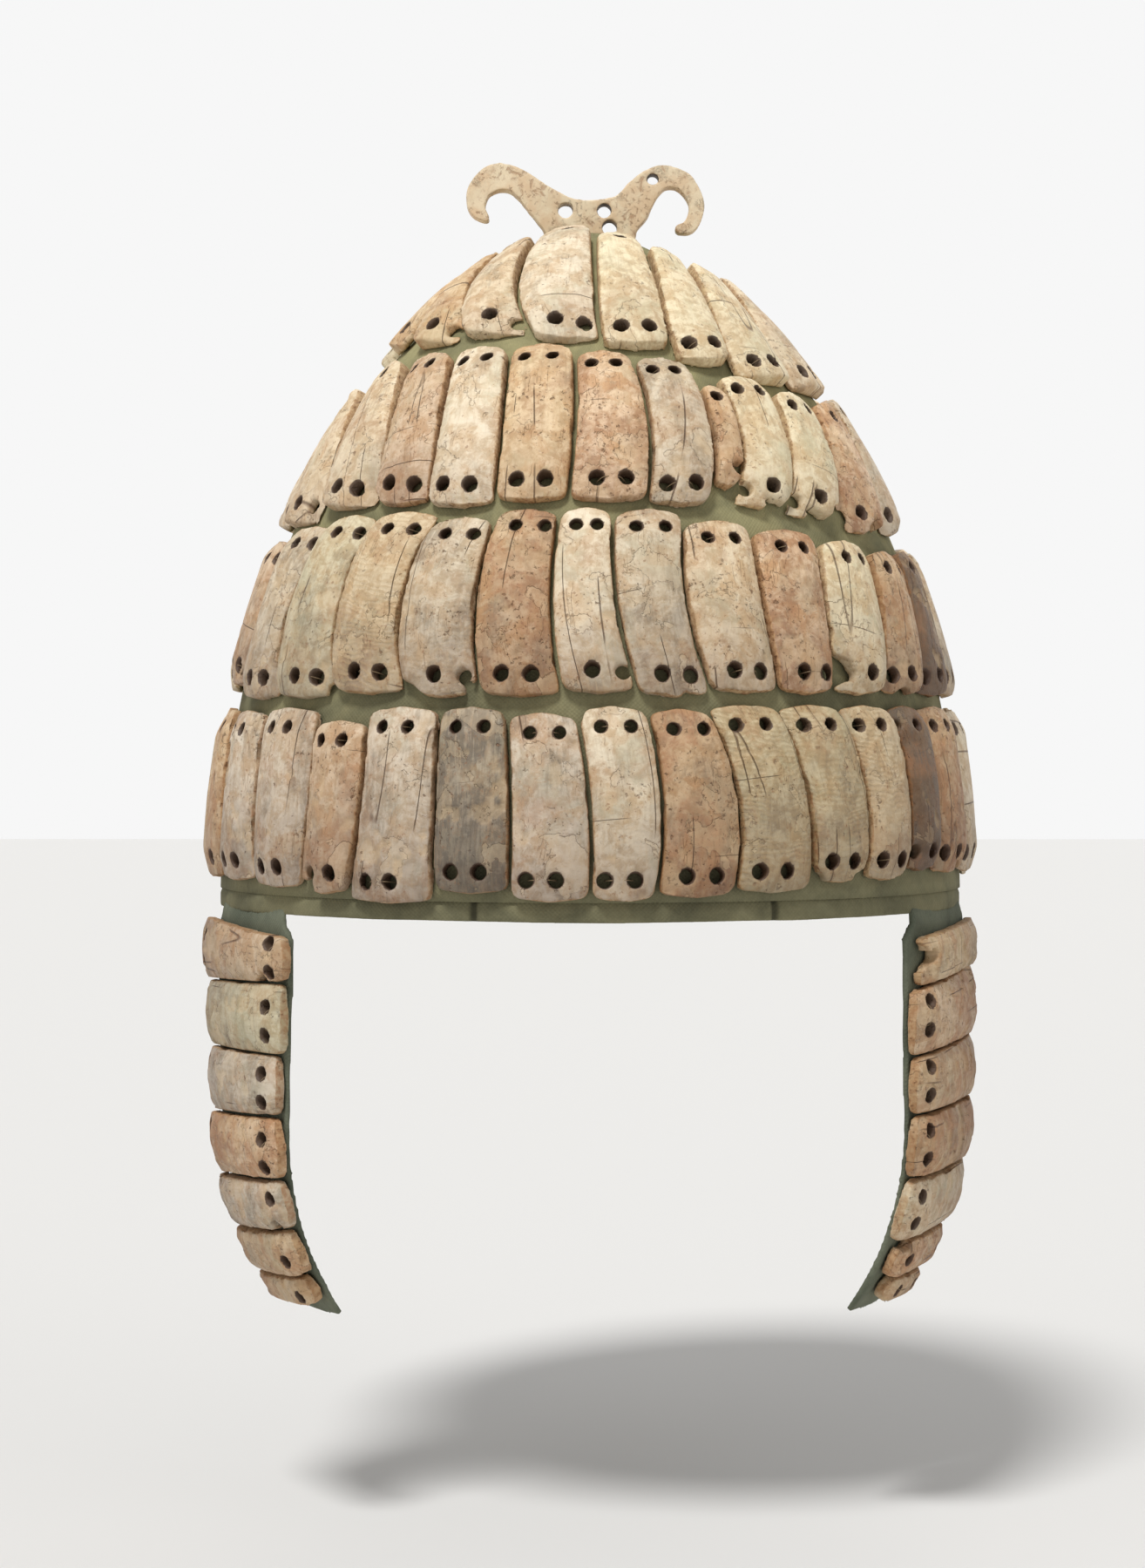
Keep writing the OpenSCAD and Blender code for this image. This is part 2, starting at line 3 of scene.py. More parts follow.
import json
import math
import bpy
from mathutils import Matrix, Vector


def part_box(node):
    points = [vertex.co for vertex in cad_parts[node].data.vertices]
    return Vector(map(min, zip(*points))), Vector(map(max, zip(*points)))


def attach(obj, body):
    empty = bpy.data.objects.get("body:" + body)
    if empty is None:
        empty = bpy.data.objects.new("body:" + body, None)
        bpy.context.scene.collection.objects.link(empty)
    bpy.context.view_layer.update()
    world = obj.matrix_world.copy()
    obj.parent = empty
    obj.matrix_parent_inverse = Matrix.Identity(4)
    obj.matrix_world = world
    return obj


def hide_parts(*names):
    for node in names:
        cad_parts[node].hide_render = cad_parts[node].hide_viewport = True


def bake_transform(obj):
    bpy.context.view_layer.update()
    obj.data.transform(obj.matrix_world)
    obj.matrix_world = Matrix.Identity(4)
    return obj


bl_info = {
    "name": "Boar tusk helmet",
    "version": (1, 0, 0),
    "blender": (4, 5, 0),
    "location": "View3D > Sidebar > Helmet",
    "description": "Makes the looks of a boar tusk helmet around its measured frame",
    "category": "Object",
}

import bmesh
import bpy
import numpy as np

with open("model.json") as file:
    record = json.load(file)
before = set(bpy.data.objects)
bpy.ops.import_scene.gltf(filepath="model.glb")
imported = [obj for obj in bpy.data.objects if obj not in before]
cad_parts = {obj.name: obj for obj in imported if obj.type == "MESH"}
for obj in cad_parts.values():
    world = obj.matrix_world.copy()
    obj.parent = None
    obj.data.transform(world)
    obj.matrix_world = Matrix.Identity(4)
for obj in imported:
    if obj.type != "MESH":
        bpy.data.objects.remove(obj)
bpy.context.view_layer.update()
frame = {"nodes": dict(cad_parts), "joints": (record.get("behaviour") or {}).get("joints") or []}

MM = 0.001

# Outline of the cap: a tall dome, its plan two half rounds joined by straight sides
DOME_UP = 2.05
DOME_IN = 1.6
CAP_LOW, CAP_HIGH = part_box("cap_cloth")
HEM_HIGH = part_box("hem_band")[1]
CAP_RADIUS = HEM_HIGH.x
CAP_STRAIGHT = HEM_HIGH.y - HEM_HIGH.x
# Share of each half of the plan that its straight side takes
STRAIGHT_SHARE = 0.06
CAP_HEIGHT = CAP_HIGH.z
LINING_INSET = 2.2 * MM
LINING_WALL = 3.7 * MM
GORES = 8

# Bearings in degrees at which the hem's lengths of cloth meet, and how deep their seams lie
HEM_SEAMS = (-115.0, -16.5, 27.0, 150.0)
HEM_SEAM_DEPTH = 0.8 * MM
# How far the hem's upper edge reaches up the cap, and how far it leans in
HEM_REACH = 1.6 * MM
HEM_LEAN = 0.9 * MM
# How far a guard's cloth reaches up behind the hem, and how far in
GUARD_LAP = 3.2 * MM
GUARD_TUCK = 0.7 * MM
# Share of their thickness that the crest's horns lose towards their tips
HORN_THINNING = 0.22

# Scale of the map that follows each plate: one unit is a centimetre of tusk
PLATE_MAP = 100.0
# Steps between the numbers that give each plate its own part of a pattern
OWN_SHARES = (0.6180, 0.7549, 0.5698)

# Mesh sizes of the remeshed pieces other than the plates
CREST_GRAIN = 0.5 * MM
HEM_GRAIN = 0.8 * MM
GUARD_GRAIN = 0.7 * MM
THONG_GRAIN = 1.1 * MM
# Faces round the cap and up it, in its cloth and in its felt
CAP_STEPS = (260, 90)
LINING_STEPS = (150, 60)

# The largest radius of a plate hole and of a crest hole, and the widest that two sewing holes lie apart
PLATE_HOLE = 3.4 * MM
CREST_HOLE = 2.4 * MM
PAIR_APART = 14 * MM
# The sewing thread's radius, and how many of every five plates of the cap still have their threads
TWINE_RADIUS = 0.11 * MM
THREADED = 2

# Each lamp: name, where it shines from, its setting and how many degrees wide it is
LAMPS = (
    ("key_light", (-0.45, -0.90, 1.70), "key", 14.0),
    ("left_light", (-1.0, -0.5, 0.3), "fill", 60.0),
    ("right_light", (1.0, -0.6, 0.4), "fill", 60.0),
    ("back_light", (0.3, 1.0, 0.7), "fill", 60.0),
)

# Level of the background that the camera sees, and the floor's width in metres
BACKGROUND = 0.93
FLOOR_WIDTH = 12.0
FLOOR_COLOUR = (0.80, 0.79, 0.77, 1.0)

# The camera's sensor in millimetres, and how far it looks down and to the side in degrees
SENSOR_HEIGHT = 36.0
CAMERA_TILT = 0.77
CAMERA_TURN = 0.31

# Which way the plates of the cap and of the guards run
UPWARDS = (0, 0, 1)
FORWARDS = (0, -1, 0)

GUARDS = ("right", "left")
THONGS = ("thong_web", "thong_ring_low", "thong_ring_middle", "thong_ring_high")


def rgb(red, green, blue):
    """A screen colour from 0 to 255 as the linear colour that materials take."""
    def linear(c):
        c /= 255
        return c / 12.92 if c <= 0.04045 else ((c + 0.055) / 1.055) ** 2.4

    return (linear(red), linear(green), linear(blue), 1.0)


def dye(colour):
    """A colour setting with its fourth number."""
    return tuple(colour) + (1.0,)


# How much of its tone each row keeps: the lower rows are darker, partly from soiling and partly from
# painted shade where the light from above falls off, and the top rows are lifted by painted light
ROW_TONE_AND_SHADE = {"1": 1.08, "2": 1.07, "3": 1.0, "4": 0.88}
# The guards' plates are darker still: soiling and painted shade low on the helmet
GUARD_TONE_AND_SHADE = 0.76

# How each kind of plate has aged: tone, then stain, greyness and growth rings from 0 to 1
LOOKS = {
    "cream": (rgb(228, 209, 176), 0.30, 0.15, 0.15),
    "pale": (rgb(233, 217, 188), 0.18, 0.15, 0.25),
    "chalky": (rgb(222, 206, 182), 0.30, 0.45, 0.10),
    "greenish": (rgb(213, 201, 168), 0.15, 0.25, 0.25),
    "cool": (rgb(216, 200, 172), 0.25, 0.40, 0.45),
    "yellow": (rgb(235, 220, 184), 0.10, 0.00, 0.15),
    "warm": (rgb(224, 198, 158), 0.50, 0.20, 0.10),
    "pinkish": (rgb(216, 190, 158), 0.55, 0.25, 0.05),
    "tan": (rgb(220, 192, 154), 0.65, 0.10, 0.05),
    "rust": (rgb(228, 199, 163), 0.90, 0.10, 0.00),
    "brown": (rgb(206, 176, 138), 0.85, 0.30, 0.00),
    "olive": (rgb(208, 190, 152), 0.20, 0.30, 0.95),
    "ringed": (rgb(218, 198, 162), 0.25, 0.15, 1.00),
    "grey": (rgb(184, 168, 142), 0.25, 1.00, 0.00),
    # dark: given to the plates at the helmet's right edge, partly darker tusk and partly painted shade
    # on the side turned from the light
    "dark": (rgb(122, 96, 68), 0.45, 0.60, 0.00),
}
COMMON_LOOKS = ("cream", "pale", "warm", "tan", "cool", "pinkish", "ringed", "rust", "yellow",
                "greenish")

# The looks of the plates seen from the front, each with its bearing in degrees; the dark looks at the
# right edge are partly painted shade
FRONT_LOOKS = {
    "1": {-80: "warm", -57: "warm", -33: "cream", -9: "pale", 11: "yellow", 30: "yellow", 50: "yellow",
          70: "cream"},
    "2": {-73: "cream", -55: "cream", -39: "pinkish", -25: "pale", -10: "warm", 5: "rust", 18: "cool",
          28: "tan", 37: "yellow", 50: "yellow", 65: "rust"},
    "3": {-78: "pinkish", -64: "cool", -51: "greenish", -37: "ringed", -25: "cool", -12: "brown",
          -1: "pale", 9: "cool", 21: "cream", 34: "rust", 47: "yellow", 60: "brown", 73: "dark"},
    "4": {-64: "chalky", -51: "chalky", -39: "pinkish", -28: "chalky", -17: "grey", -5: "chalky",
          5: "pale", 15: "brown", 26: "olive", 37: "olive", 48: "ringed", 58: "dark", 69: "brown"},
}
GUARD_LOOKS = {
    "right": ("pinkish", "greenish", "chalky", "rust", "chalky", "tan", "tan"),
    "left": ("warm", "rust", "tan", "brown", "cream", "rust", "tan"),
}


class Value:
    """A shader socket that Python arithmetic works on. Each sign adds one Math node."""

    def __init__(self, nodes, socket):
        self.nodes = nodes
        self.socket = socket

    def __add__(self, other):
        return self.nodes.math("ADD", self, other)

    def __radd__(self, other):
        return self.nodes.math("ADD", other, self)

    def __sub__(self, other):
        return self.nodes.math("SUBTRACT", self, other)

    def __rsub__(self, other):
        return self.nodes.math("SUBTRACT", other, self)

    def __mul__(self, other):
        return self.nodes.math("MULTIPLY", self, other)

    def __rmul__(self, other):
        return self.nodes.math("MULTIPLY", other, self)


class Nodes:
    """The nodes of a material or of the world, under construction."""

    def __init__(self, tree):
        self.tree = tree
        self.tree.nodes.clear()

    def put(self, socket, value):
        """Links or sets one input socket."""
        if isinstance(value, Value):
            self.tree.links.new(value.socket, socket)
        else:
            socket.default_value = value

    def node(self, kind, settings, inputs, output=0):
        """Adds a node: its settings first, then its inputs by name or number."""
        node = self.tree.nodes.new(kind)
        for name, setting in settings.items():
            setattr(node, name, setting)
        for name, value in inputs.items():
            self.put(node.inputs[name], value)
        return Value(self, node.outputs[output])

    def end(self, kind, result):
        """Adds the output node, fed with the result."""
        self.put(self.tree.nodes.new(kind).inputs[0], result)

    def math(self, operation, a, b=0.0):
        """Adds a Math node."""
        return self.node("ShaderNodeMath", {"operation": operation}, {0: a, 1: b})


class Finish(Nodes):
    """A material under construction: one Principled shader and the nodes that feed it."""

    def __init__(self, name):
        self.material = bpy.data.materials.new(name)
        self.material.use_nodes = True
        super().__init__(self.material.node_tree)
        surface = self.node("ShaderNodeBsdfPrincipled", {}, {})
        self.end("ShaderNodeOutputMaterial", surface)
        self.shader = surface.socket.node

    def vector(self, operation, a, b):
        """Adds a Vector Math node."""
        return self.node("ShaderNodeVectorMath", {"operation": operation}, {0: a, 1: b})

    def mix(self, factor, a, b, blend="MIX"):
        """One colour over another."""
        settings = {"data_type": "RGBA", "blend_type": blend}
        return self.node("ShaderNodeMix", settings, {0: factor, 6: a, 7: b}, 2)

    def dyed(self, colour, red, green, blue):
        """A colour times another, channel by channel."""
        return self.mix(1.0, colour, (red, green, blue, 1.0), "MULTIPLY")

    def step(self, value, low, high):
        """A smooth rise from 0 at low to 1 at high."""
        inputs = {"Value": value, "From Min": low, "From Max": high}
        return self.node("ShaderNodeMapRange", {"interpolation_type": "SMOOTHSTEP"}, inputs)

    def places(self):
        """Object coordinates in millimetres."""
        inside = self.node("ShaderNodeTexCoord", {}, {}, "Object")
        return self.vector("MULTIPLY", inside, (1000.0, 1000.0, 1000.0))

    def map(self, name, per_unit):
        """A piece's own UV map, in millimetres."""
        flat = self.node("ShaderNodeUVMap", {"uv_map": name}, {})
        return self.vector("MULTIPLY", flat, (per_unit, per_unit, per_unit))

    def attribute(self, name):
        """Three numbers that every vertex of a piece holds."""
        return self.node("ShaderNodeAttribute", {"attribute_name": name}, {}, "Color")

    def split(self, colour):
        """The three numbers that a colour or a place holds."""
        first = self.node("ShaderNodeSeparateColor", {}, {0: colour})
        return [Value(self, socket) for socket in first.socket.node.outputs]

    def noise(self, where, size, detail=3.0, roughness=0.55, distortion=0.0):
        """Cloudy noise with spots about size millimetres across."""
        inputs = {"Vector": where, "Scale": 1.0 / size, "Detail": detail, "Roughness": roughness,
                  "Distortion": distortion}
        return self.node("ShaderNodeTexNoise", {}, inputs)

    def line(self, field, level, width):
        """A thin line where a field of noise passes a level."""
        return 1 - self.step(self.math("ABSOLUTE", field - level), 0.0, width)

    def cells(self, where, size):
        """Distance to the middle of the nearest cell in a pattern of cells."""
        inputs = {"Vector": where, "Scale": 1.0 / size}
        return self.node("ShaderNodeTexVoronoi", {}, inputs, "Distance")

    def finish(self, colour, roughness, height, relief, gloss):
        """Joins the results to the shader. relief is the height of the bumps in millimetres."""
        self.put(self.shader.inputs["Base Color"], colour)
        self.put(self.shader.inputs["Roughness"], roughness)
        inputs = {"Strength": 1.0, "Distance": relief * MM, "Height": height}
        bump = self.node("ShaderNodeBump", {}, inputs)
        self.put(self.shader.inputs["Normal"], bump)
        self.shader.inputs["Specular IOR Level"].default_value = gloss
        return self.material


def tusk_finish(settings):
    """Split boar tusk: ivory with stains, cracks, rings, lost layers and ochre edges, with painted
    shade in the holes.
    """
    f = Finish("tusk")
    tone = f.attribute("tone")
    stain, grey, rings = f.split(f.attribute("look"))
    rim, hole_shade, flake = f.split(f.attribute("relief"))
    place = f.places()
    own = f.vector("MULTIPLY", f.attribute("own"), (300.0, 300.0, 300.0))
    where = f.vector("ADD", place, own)
    grain = f.map("plate", 1000.0 / PLATE_MAP)

    def shade(red, green, blue):
        return f.dyed(tone, red, green, blue)

    def drawn_out(across, along):
        """The plate's own map, stretched across or along the tusk."""
        return f.vector("ADD", f.vector("MULTIPLY", grain, (across, along, 1.0)), own)

    # Clouds of warmer, greener and darker ivory, from the width of a plate down to dust
    broad = f.noise(where, 15.0, 5.0, 0.6, 0.4)
    cool = f.noise(f.vector("ADD", where, (40.0, 0.0, 9.0)), 17.0, 5.0, 0.6, 0.3)
    cloud = f.noise(f.vector("ADD", where, (5.0, 31.0, 0.0)), 7.0, 6.0, 0.62, 0.6)
    mottle = f.noise(where, 3.2, 7.0, 0.70, 0.5)
    pale = f.noise(f.vector("ADD", where, (0.0, 13.0, 57.0)), 9.0, 5.0, 0.6, 0.5)
    streak = f.noise(drawn_out(1.0, 0.12), 0.9, 5.0, 0.6)
    colour = f.mix(f.step(mottle, 0.40, 0.60) * 0.80, shade(1.08, 1.08, 1.09), shade(0.74, 0.64, 0.53))
    colour = f.mix(f.step(cool, 0.50, 0.64) * 0.55, colour, shade(0.78, 0.83, 0.80))
    colour = f.mix(f.step(cloud, 0.49, 0.58) * (0.35 + stain * 0.50), colour, shade(0.74, 0.57, 0.42))
    colour = f.mix(f.step(pale, 0.52, 0.62) * 0.65, colour, shade(1.12, 1.15, 1.20))
    stained = f.step(broad + stain * 0.13, 0.52, 0.68) * (stain * 0.65 + 0.22)
    stained = stained * (0.45 + f.step(mottle, 0.38, 0.58) * 0.55)
    colour = f.mix(stained, colour, dye(settings.stain))
    drawn = f.vector("MULTIPLY", f.vector("ADD", where, (0.0, 70.0, 0.0)), (1.0, 1.0, 0.55))
    smoky = f.noise(drawn, 11.0, 7.0, 0.62, 0.5)
    smoked = f.step(smoky + grey * 0.15, 0.52, 0.68) * (grey * 0.66 + 0.20)
    smoked = smoked * (0.40 + f.step(streak + mottle * 0.5, 0.64, 0.84) * 0.60)
    colour = f.mix(smoked, colour, dye(settings.smoke))

    # Each plate is darker and greyer towards its lower end, partly dirt and partly painted shade from
    # the light above, and the crown's plates get less of it
    _, height_on_plate, _ = f.split(grain)
    _, _, height_on_cap = f.split(place)
    soil_and_shade = 1 - f.step(height_on_plate + (cloud - 0.5) * 60.0, -30.0, 22.0)
    soil_and_shade = soil_and_shade * (1 - f.step(height_on_cap, 70.0, 160.0) * 0.75)
    # Painted light lifts the upper ends a little, and painted shade with dirt darkens the lower ends
    dirt_and_shade = f.mix(soil_and_shade, (1.06, 1.06, 1.06, 1.0), (0.60, 0.57, 0.58, 1.0))
    colour = f.mix(1.0, colour, dirt_and_shade, "MULTIPLY")

    # The tusk's own grain runs along the plate, and its growth rings cross it in arcs
    colour = f.mix(f.step(streak, 0.46, 0.74) * 0.45, colour, shade(0.66, 0.56, 0.46))
    arc = f.node("ShaderNodeVectorMath", {"operation": "DISTANCE"}, {0: grain, 1: (4.0, 38.0, 0.0)}, 1)
    ripple = f.math("SINE", (arc + broad * 8.0) * 4.4)
    bands = f.step(f.noise(drawn_out(1.0, 1.0), 14.0, 2.0), 0.36, 0.56) * rings
    ringed = f.step(ripple, 0.2, 1.0) * bands
    colour = f.mix(ringed * 0.38, colour, shade(0.66, 0.56, 0.44))

    # Long cracks along the grain, fewer across it, and hairlines
    along = f.noise(drawn_out(1.0, 0.06), 12.0, 2.0, 0.30)
    across = f.noise(drawn_out(0.05, 1.0), 22.0, 1.0, 0.20)
    fine = f.noise(drawn_out(1.0, 0.12), 3.4, 3.0, 0.5, 0.3)
    crack = f.line(along, 0.5, 0.006) * f.step(f.noise(where, 26.0, 1.0), 0.50, 0.56)
    torn = f.line(across, 0.47, 0.003) * f.step(f.noise(where, 31.0, 1.0), 0.57, 0.63)
    crack = f.math("MAXIMUM", crack, torn)
    hair = f.line(fine, 0.5, 0.010) * f.step(cloud + stain * 0.04, 0.54, 0.64)
    colour = f.mix(crack * 0.75, colour, dye(settings.crack))
    colour = f.mix(hair * 0.30, colour, dye(settings.rim))

    # Lost layers with a sharp step round them, pits and specks
    scale = f.noise(f.vector("ADD", where, (11.0, 23.0, 0.0)), 13.0, 6.0, 0.55, 0.3) + stain * 0.02
    lost = f.step(scale, 0.590, 0.598)
    ledge = f.line(scale, 0.590, 0.007) * f.step(pale, 0.46, 0.58)
    colour = f.mix(lost * 0.28, colour, f.mix(0.5, tone, dye(settings.flake)))
    colour = f.mix(ledge * 0.30, colour, dye(settings.rim))
    rough = f.noise(where, 1.3, 4.0, 0.62)
    pitted = 1 - f.step(rough, 0.28, 0.40)
    pitted = pitted * f.step(f.noise(where, 10.0, 3.0) + stain * 0.16, 0.52, 0.66)
    colour = f.mix(pitted * 0.70, colour, dye(settings.pit))
    speck = f.step(f.noise(where, 1.0, 3.0, 0.6), 0.58, 0.68) * f.step(cloud + stain * 0.1, 0.46, 0.62)
    colour = f.mix(speck * 0.60, colour, dye(settings.pit))

    # Edges, and painted shade inside the holes
    colour = f.mix(flake * 0.30, colour, dye(settings.flake))
    edge = f.step(rim + (mottle - 0.5) * 1.1, 0.25, 0.85)
    ochre = f.mix(f.step(rough, 0.35, 0.65), dye(settings.rim), shade(0.78, 0.66, 0.52))
    colour = f.mix(edge * 0.75, colour, ochre)
    colour = f.mix(f.step(hole_shade, 0.30, 0.80) * 0.92, colour, dye(settings.hole_shade))

    height = cloud * 0.35 + mottle * 0.36 + streak * 0.16 + rough * 0.14 + ripple * bands * 0.06
    height = height - crack * 0.6 - hair * 0.2 - pitted * 0.55 - lost * 0.5 - ledge * 0.2
    roughness = 0.44 + mottle * 0.22 + stained * 0.12 + edge * 0.14
    return f.finish(colour, roughness, height, 0.70, 0.45)


def bone_finish(settings):
    """The crest's bone: cream with rusty clouds, specks and thin splits."""
    f = Finish("crest_bone")
    _, hole_shade, _ = f.split(f.attribute("relief"))
    where = f.places()
    broad = f.noise(where, 8.0, 5.0, 0.6, 0.4)
    fine = f.noise(where, 1.6, 6.0, 0.65)
    colour = f.mix(f.step(broad, 0.40, 0.62), dye(settings.bone), dye(settings.bone_warm))
    vein = f.noise(where, 3.6, 8.0, 0.72, 1.2)
    rust = f.step(vein, 0.51, 0.64) * f.step(f.noise(where, 6.0, 2.0), 0.38, 0.56)
    colour = f.mix(rust * 0.65, colour, dye(settings.stain))
    split = f.line(vein, 0.5, 0.008) * f.step(f.noise(where, 9.0, 2.0), 0.53, 0.60)
    colour = f.mix(split * 0.6, colour, dye(settings.crack))
    spot = f.step(f.noise(where, 1.1, 4.0), 0.58, 0.68) * f.step(broad, 0.42, 0.58)
    colour = f.mix(spot * 0.55, colour, dye(settings.pit))
    # Painted shade inside the crest's holes
    colour = f.mix(f.step(hole_shade, 0.25, 0.8) * 0.90, colour, dye(settings.hole_shade))
    height = fine * 0.35 + broad * 0.3 - rust * 0.25 - split * 0.3 - spot * 0.3
    return f.finish(colour, 0.48 + fine * 0.2, height, 0.40, 0.45)


def cloth_finish(name, light, dark, thread_mm):
    """Woven cloth: crossing threads, patches of soil, worn nap and painted shade in the seams, with
    painted shade low down and painted light towards the crown.
    """
    f = Finish(name)
    where = f.places()
    flat = f.map("cloth", 1000.0)
    turn = 2 * math.pi / thread_mm
    across, up, _ = f.split(flat)
    weave = f.math("SINE", across * turn) * f.math("SINE", up * turn)
    slub = f.noise(f.vector("MULTIPLY", flat, (0.25, 1.0, 1.0)), 1.2, 2.0)
    soil = f.noise(where, 22.0, 5.0, 0.6, 0.5)
    nap = f.noise(where, 1.4, 4.0, 0.6)
    colour = f.mix(f.step(soil, 0.32, 0.70), dye(light), dye(dark))
    colour = f.mix(f.step(nap, 0.35, 0.75) * 0.35, colour, f.dyed(colour, 0.72, 0.72, 0.70))
    colour = f.mix(f.step(weave, -0.2, 0.9) * 0.16, colour, f.dyed(colour, 1.35, 1.35, 1.3))
    _, _, height_on_cap = f.split(where)
    # Painted light and shade: darker and greyer low down, lighter and warmer towards the crown
    fade_and_shade = f.mix(f.step(height_on_cap, 5.0, 150.0), (0.74, 0.74, 0.74, 1.0), (1.35, 1.33, 1.22, 1.0))
    colour = f.mix(1.0, colour, fade_and_shade, "MULTIPLY")
    # Painted shade in the seams' grooves
    seam, _, _ = f.split(f.attribute("seam"))
    colour = f.mix(seam * 0.8, colour, f.dyed(dye(dark), 0.25, 0.25, 0.25))
    height = weave * 0.25 + slub * 0.3 + nap * 0.45
    return f.finish(colour, 0.86 + nap * 0.1, height, 0.16, 0.2)


def felt_finish(settings):
    """Pressed wool felt with a matted, hairy face."""
    f = Finish("felt")
    where = f.places()
    mat = f.noise(where, 2.4, 8.0, 0.7, 1.2)
    cloud = f.noise(where, 26.0, 4.0)
    colour = f.mix(f.step(cloud, 0.3, 0.7), dye(settings.felt), dye(settings.felt_dark))
    colour = f.mix(f.step(mat, 0.45, 0.7) * 0.5, colour, f.dyed(colour, 0.62, 0.58, 0.52))
    return f.finish(colour, 0.94, mat, 0.5, 0.15)


def hide_finish(settings):
    """Oak-tanned thong leather: pores, creases across the strap and darker worn patches."""
    f = Finish("thong")
    where = f.places()
    pores = f.cells(where, 0.9)
    crease = f.noise(where, 3.5, 5.0, 0.6, 0.8)
    worn = f.noise(where, 18.0, 4.0)
    colour = f.mix(f.step(worn, 0.35, 0.7), dye(settings.hide), dye(settings.hide_dark))
    colour = f.mix((1 - f.step(pores, 0.1, 0.4)) * 0.4, colour, f.dyed(colour, 0.5, 0.45, 0.4))
    height = crease * 0.6 + f.step(pores, 0.05, 0.4) * 0.4
    return f.finish(colour, 0.55 + crease * 0.2, height, 0.3, 0.4)


def thread_finish(colour):
    """Twisted thread with darker strands."""
    f = Finish("sewing_thread")
    where = f.places()
    strand = f.noise(where, 0.5, 3.0)
    shade = f.mix(f.step(strand, 0.35, 0.7) * 0.5, colour, f.dyed(colour, 0.6, 0.55, 0.48))
    return f.finish(shade, 0.6, strand, 0.1, 0.4)


def alone(piece):
    """Selects one piece and nothing else."""
    bpy.ops.object.select_all(action="DESELECT")
    piece.select_set(True)
    bpy.context.view_layer.objects.active = piece


def edit(piece, *steps):
    """Runs mesh operators on all of a piece, each a pair of an operator and its settings."""
    alone(piece)
    bpy.ops.object.mode_set(mode="EDIT")
    bpy.ops.mesh.select_all(action="SELECT")
    for step, settings in steps:
        step(**settings)
    bpy.ops.object.mode_set(mode="OBJECT")


def apply(piece, kind, **settings):
    """Adds one modifier to a piece and applies it."""
    alone(piece)
    modifier = piece.modifiers.new(kind.title(), kind)
    for name, value in settings.items():
        setattr(modifier, name, value)
    bpy.ops.object.modifier_apply(modifier=modifier.name)


def merged_copy(node, name):
    """A copy of a CAD node's mesh, its loose triangles merged."""
    mesh = frame["nodes"][node].data.copy()
    mesh.materials.clear()
    piece = bpy.data.objects.new(name, mesh)
    bpy.context.scene.collection.objects.link(piece)
    edit(piece, (bpy.ops.mesh.remove_doubles, {"threshold": 0.01 * MM}))
    return piece


def islands(piece):
    """The separate solids of a piece, each as its own object."""
    edit(piece, (bpy.ops.mesh.separate, {"type": "LOOSE"}))
    return sorted(bpy.context.selected_objects, key=lambda o: middle(o)[0])


def joined(pieces, name):
    """Several objects as one, under a new name."""
    alone(pieces[0])
    for piece in pieces:
        piece.select_set(True)
    if len(pieces) > 1:
        bpy.ops.object.join()
    pieces[0].name = name
    return pieces[0]


def points(piece):
    """Every vertex of a piece as an array."""
    co = np.zeros(len(piece.data.vertices) * 3)
    piece.data.vertices.foreach_get("co", co)
    return co.reshape(-1, 3)


def normals(piece):
    """Every vertex's normal as an array."""
    n = np.zeros(len(piece.data.vertices) * 3)
    piece.data.vertices.foreach_get("normal", n)
    return n.reshape(-1, 3)


def move_to(piece, co):
    """Puts every vertex of a piece at its new place."""
    piece.data.vertices.foreach_set("co", np.ascontiguousarray(co).ravel())
    piece.data.update()


def middle(piece):
    """Mean place of a piece's vertices."""
    return points(piece).mean(0)


def remember(piece, name, channels):
    """Stores three numbers for every vertex as a colour attribute."""
    count = len(piece.data.vertices)
    values = np.ones((count, 4), np.float32)
    for k, channel in enumerate(channels):
        values[:, k] = channel
    layer = piece.data.color_attributes.new(name, "FLOAT_COLOR", "POINT")
    layer.data.foreach_set("color", values.ravel())


def lay_map(piece, name, flat):
    """Stores a flat place for every vertex as a UV map."""
    loops = np.zeros(len(piece.data.loops), np.int64)
    piece.data.loops.foreach_get("vertex_index", loops)
    layer = piece.data.uv_layers.new(name=name)
    layer.data.foreach_set("uv", np.ascontiguousarray(flat[loops], np.float32).ravel())


def rise(x, low, high):
    """A smooth rise from 0 at low to 1 at high."""
    t = np.clip((x - low) / (high - low), 0, 1)
    return t * t * (3 - 2 * t)


def bumps(co, size, seed):
    """Smooth random values from -1 to 1, with one bump every size metres."""
    p = co / size + np.array([seed * 7.31, seed * 3.17, seed * 5.77])
    cell = np.floor(p).astype(np.int64)
    f = p - cell
    f = f * f * (3 - 2 * f)
    total = np.zeros(len(co))
    for corner in range(8):
        d = np.array([corner & 1, corner >> 1 & 1, corner >> 2 & 1])
        c = cell + d
        h = (c[:, 0] * 374761393 + c[:, 1] * 668265263 + c[:, 2] * 362437 + seed * 974711) & 0x7FFFFFFF
        h = ((h ^ (h >> 13)) * 1274126177) & 0x7FFFFFFF
        h = h ^ (h >> 16)
        weight = np.prod(np.where(d, f, 1 - f), axis=1)
        total += weight * ((h & 0xFFFF) / 32767.5 - 1)
    return total


def dress(piece, body, slot, material, *nodes):
    """Gives a finished piece its material and body, shades it smooth and hides the CAD nodes that it
    stands for. slot is not used.
    """
    piece.data.materials.clear()
    piece.data.materials.append(material)
    alone(piece)
    bpy.ops.object.shade_smooth()
    if nodes:
        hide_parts(*nodes)
    if body:
        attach(piece, body)


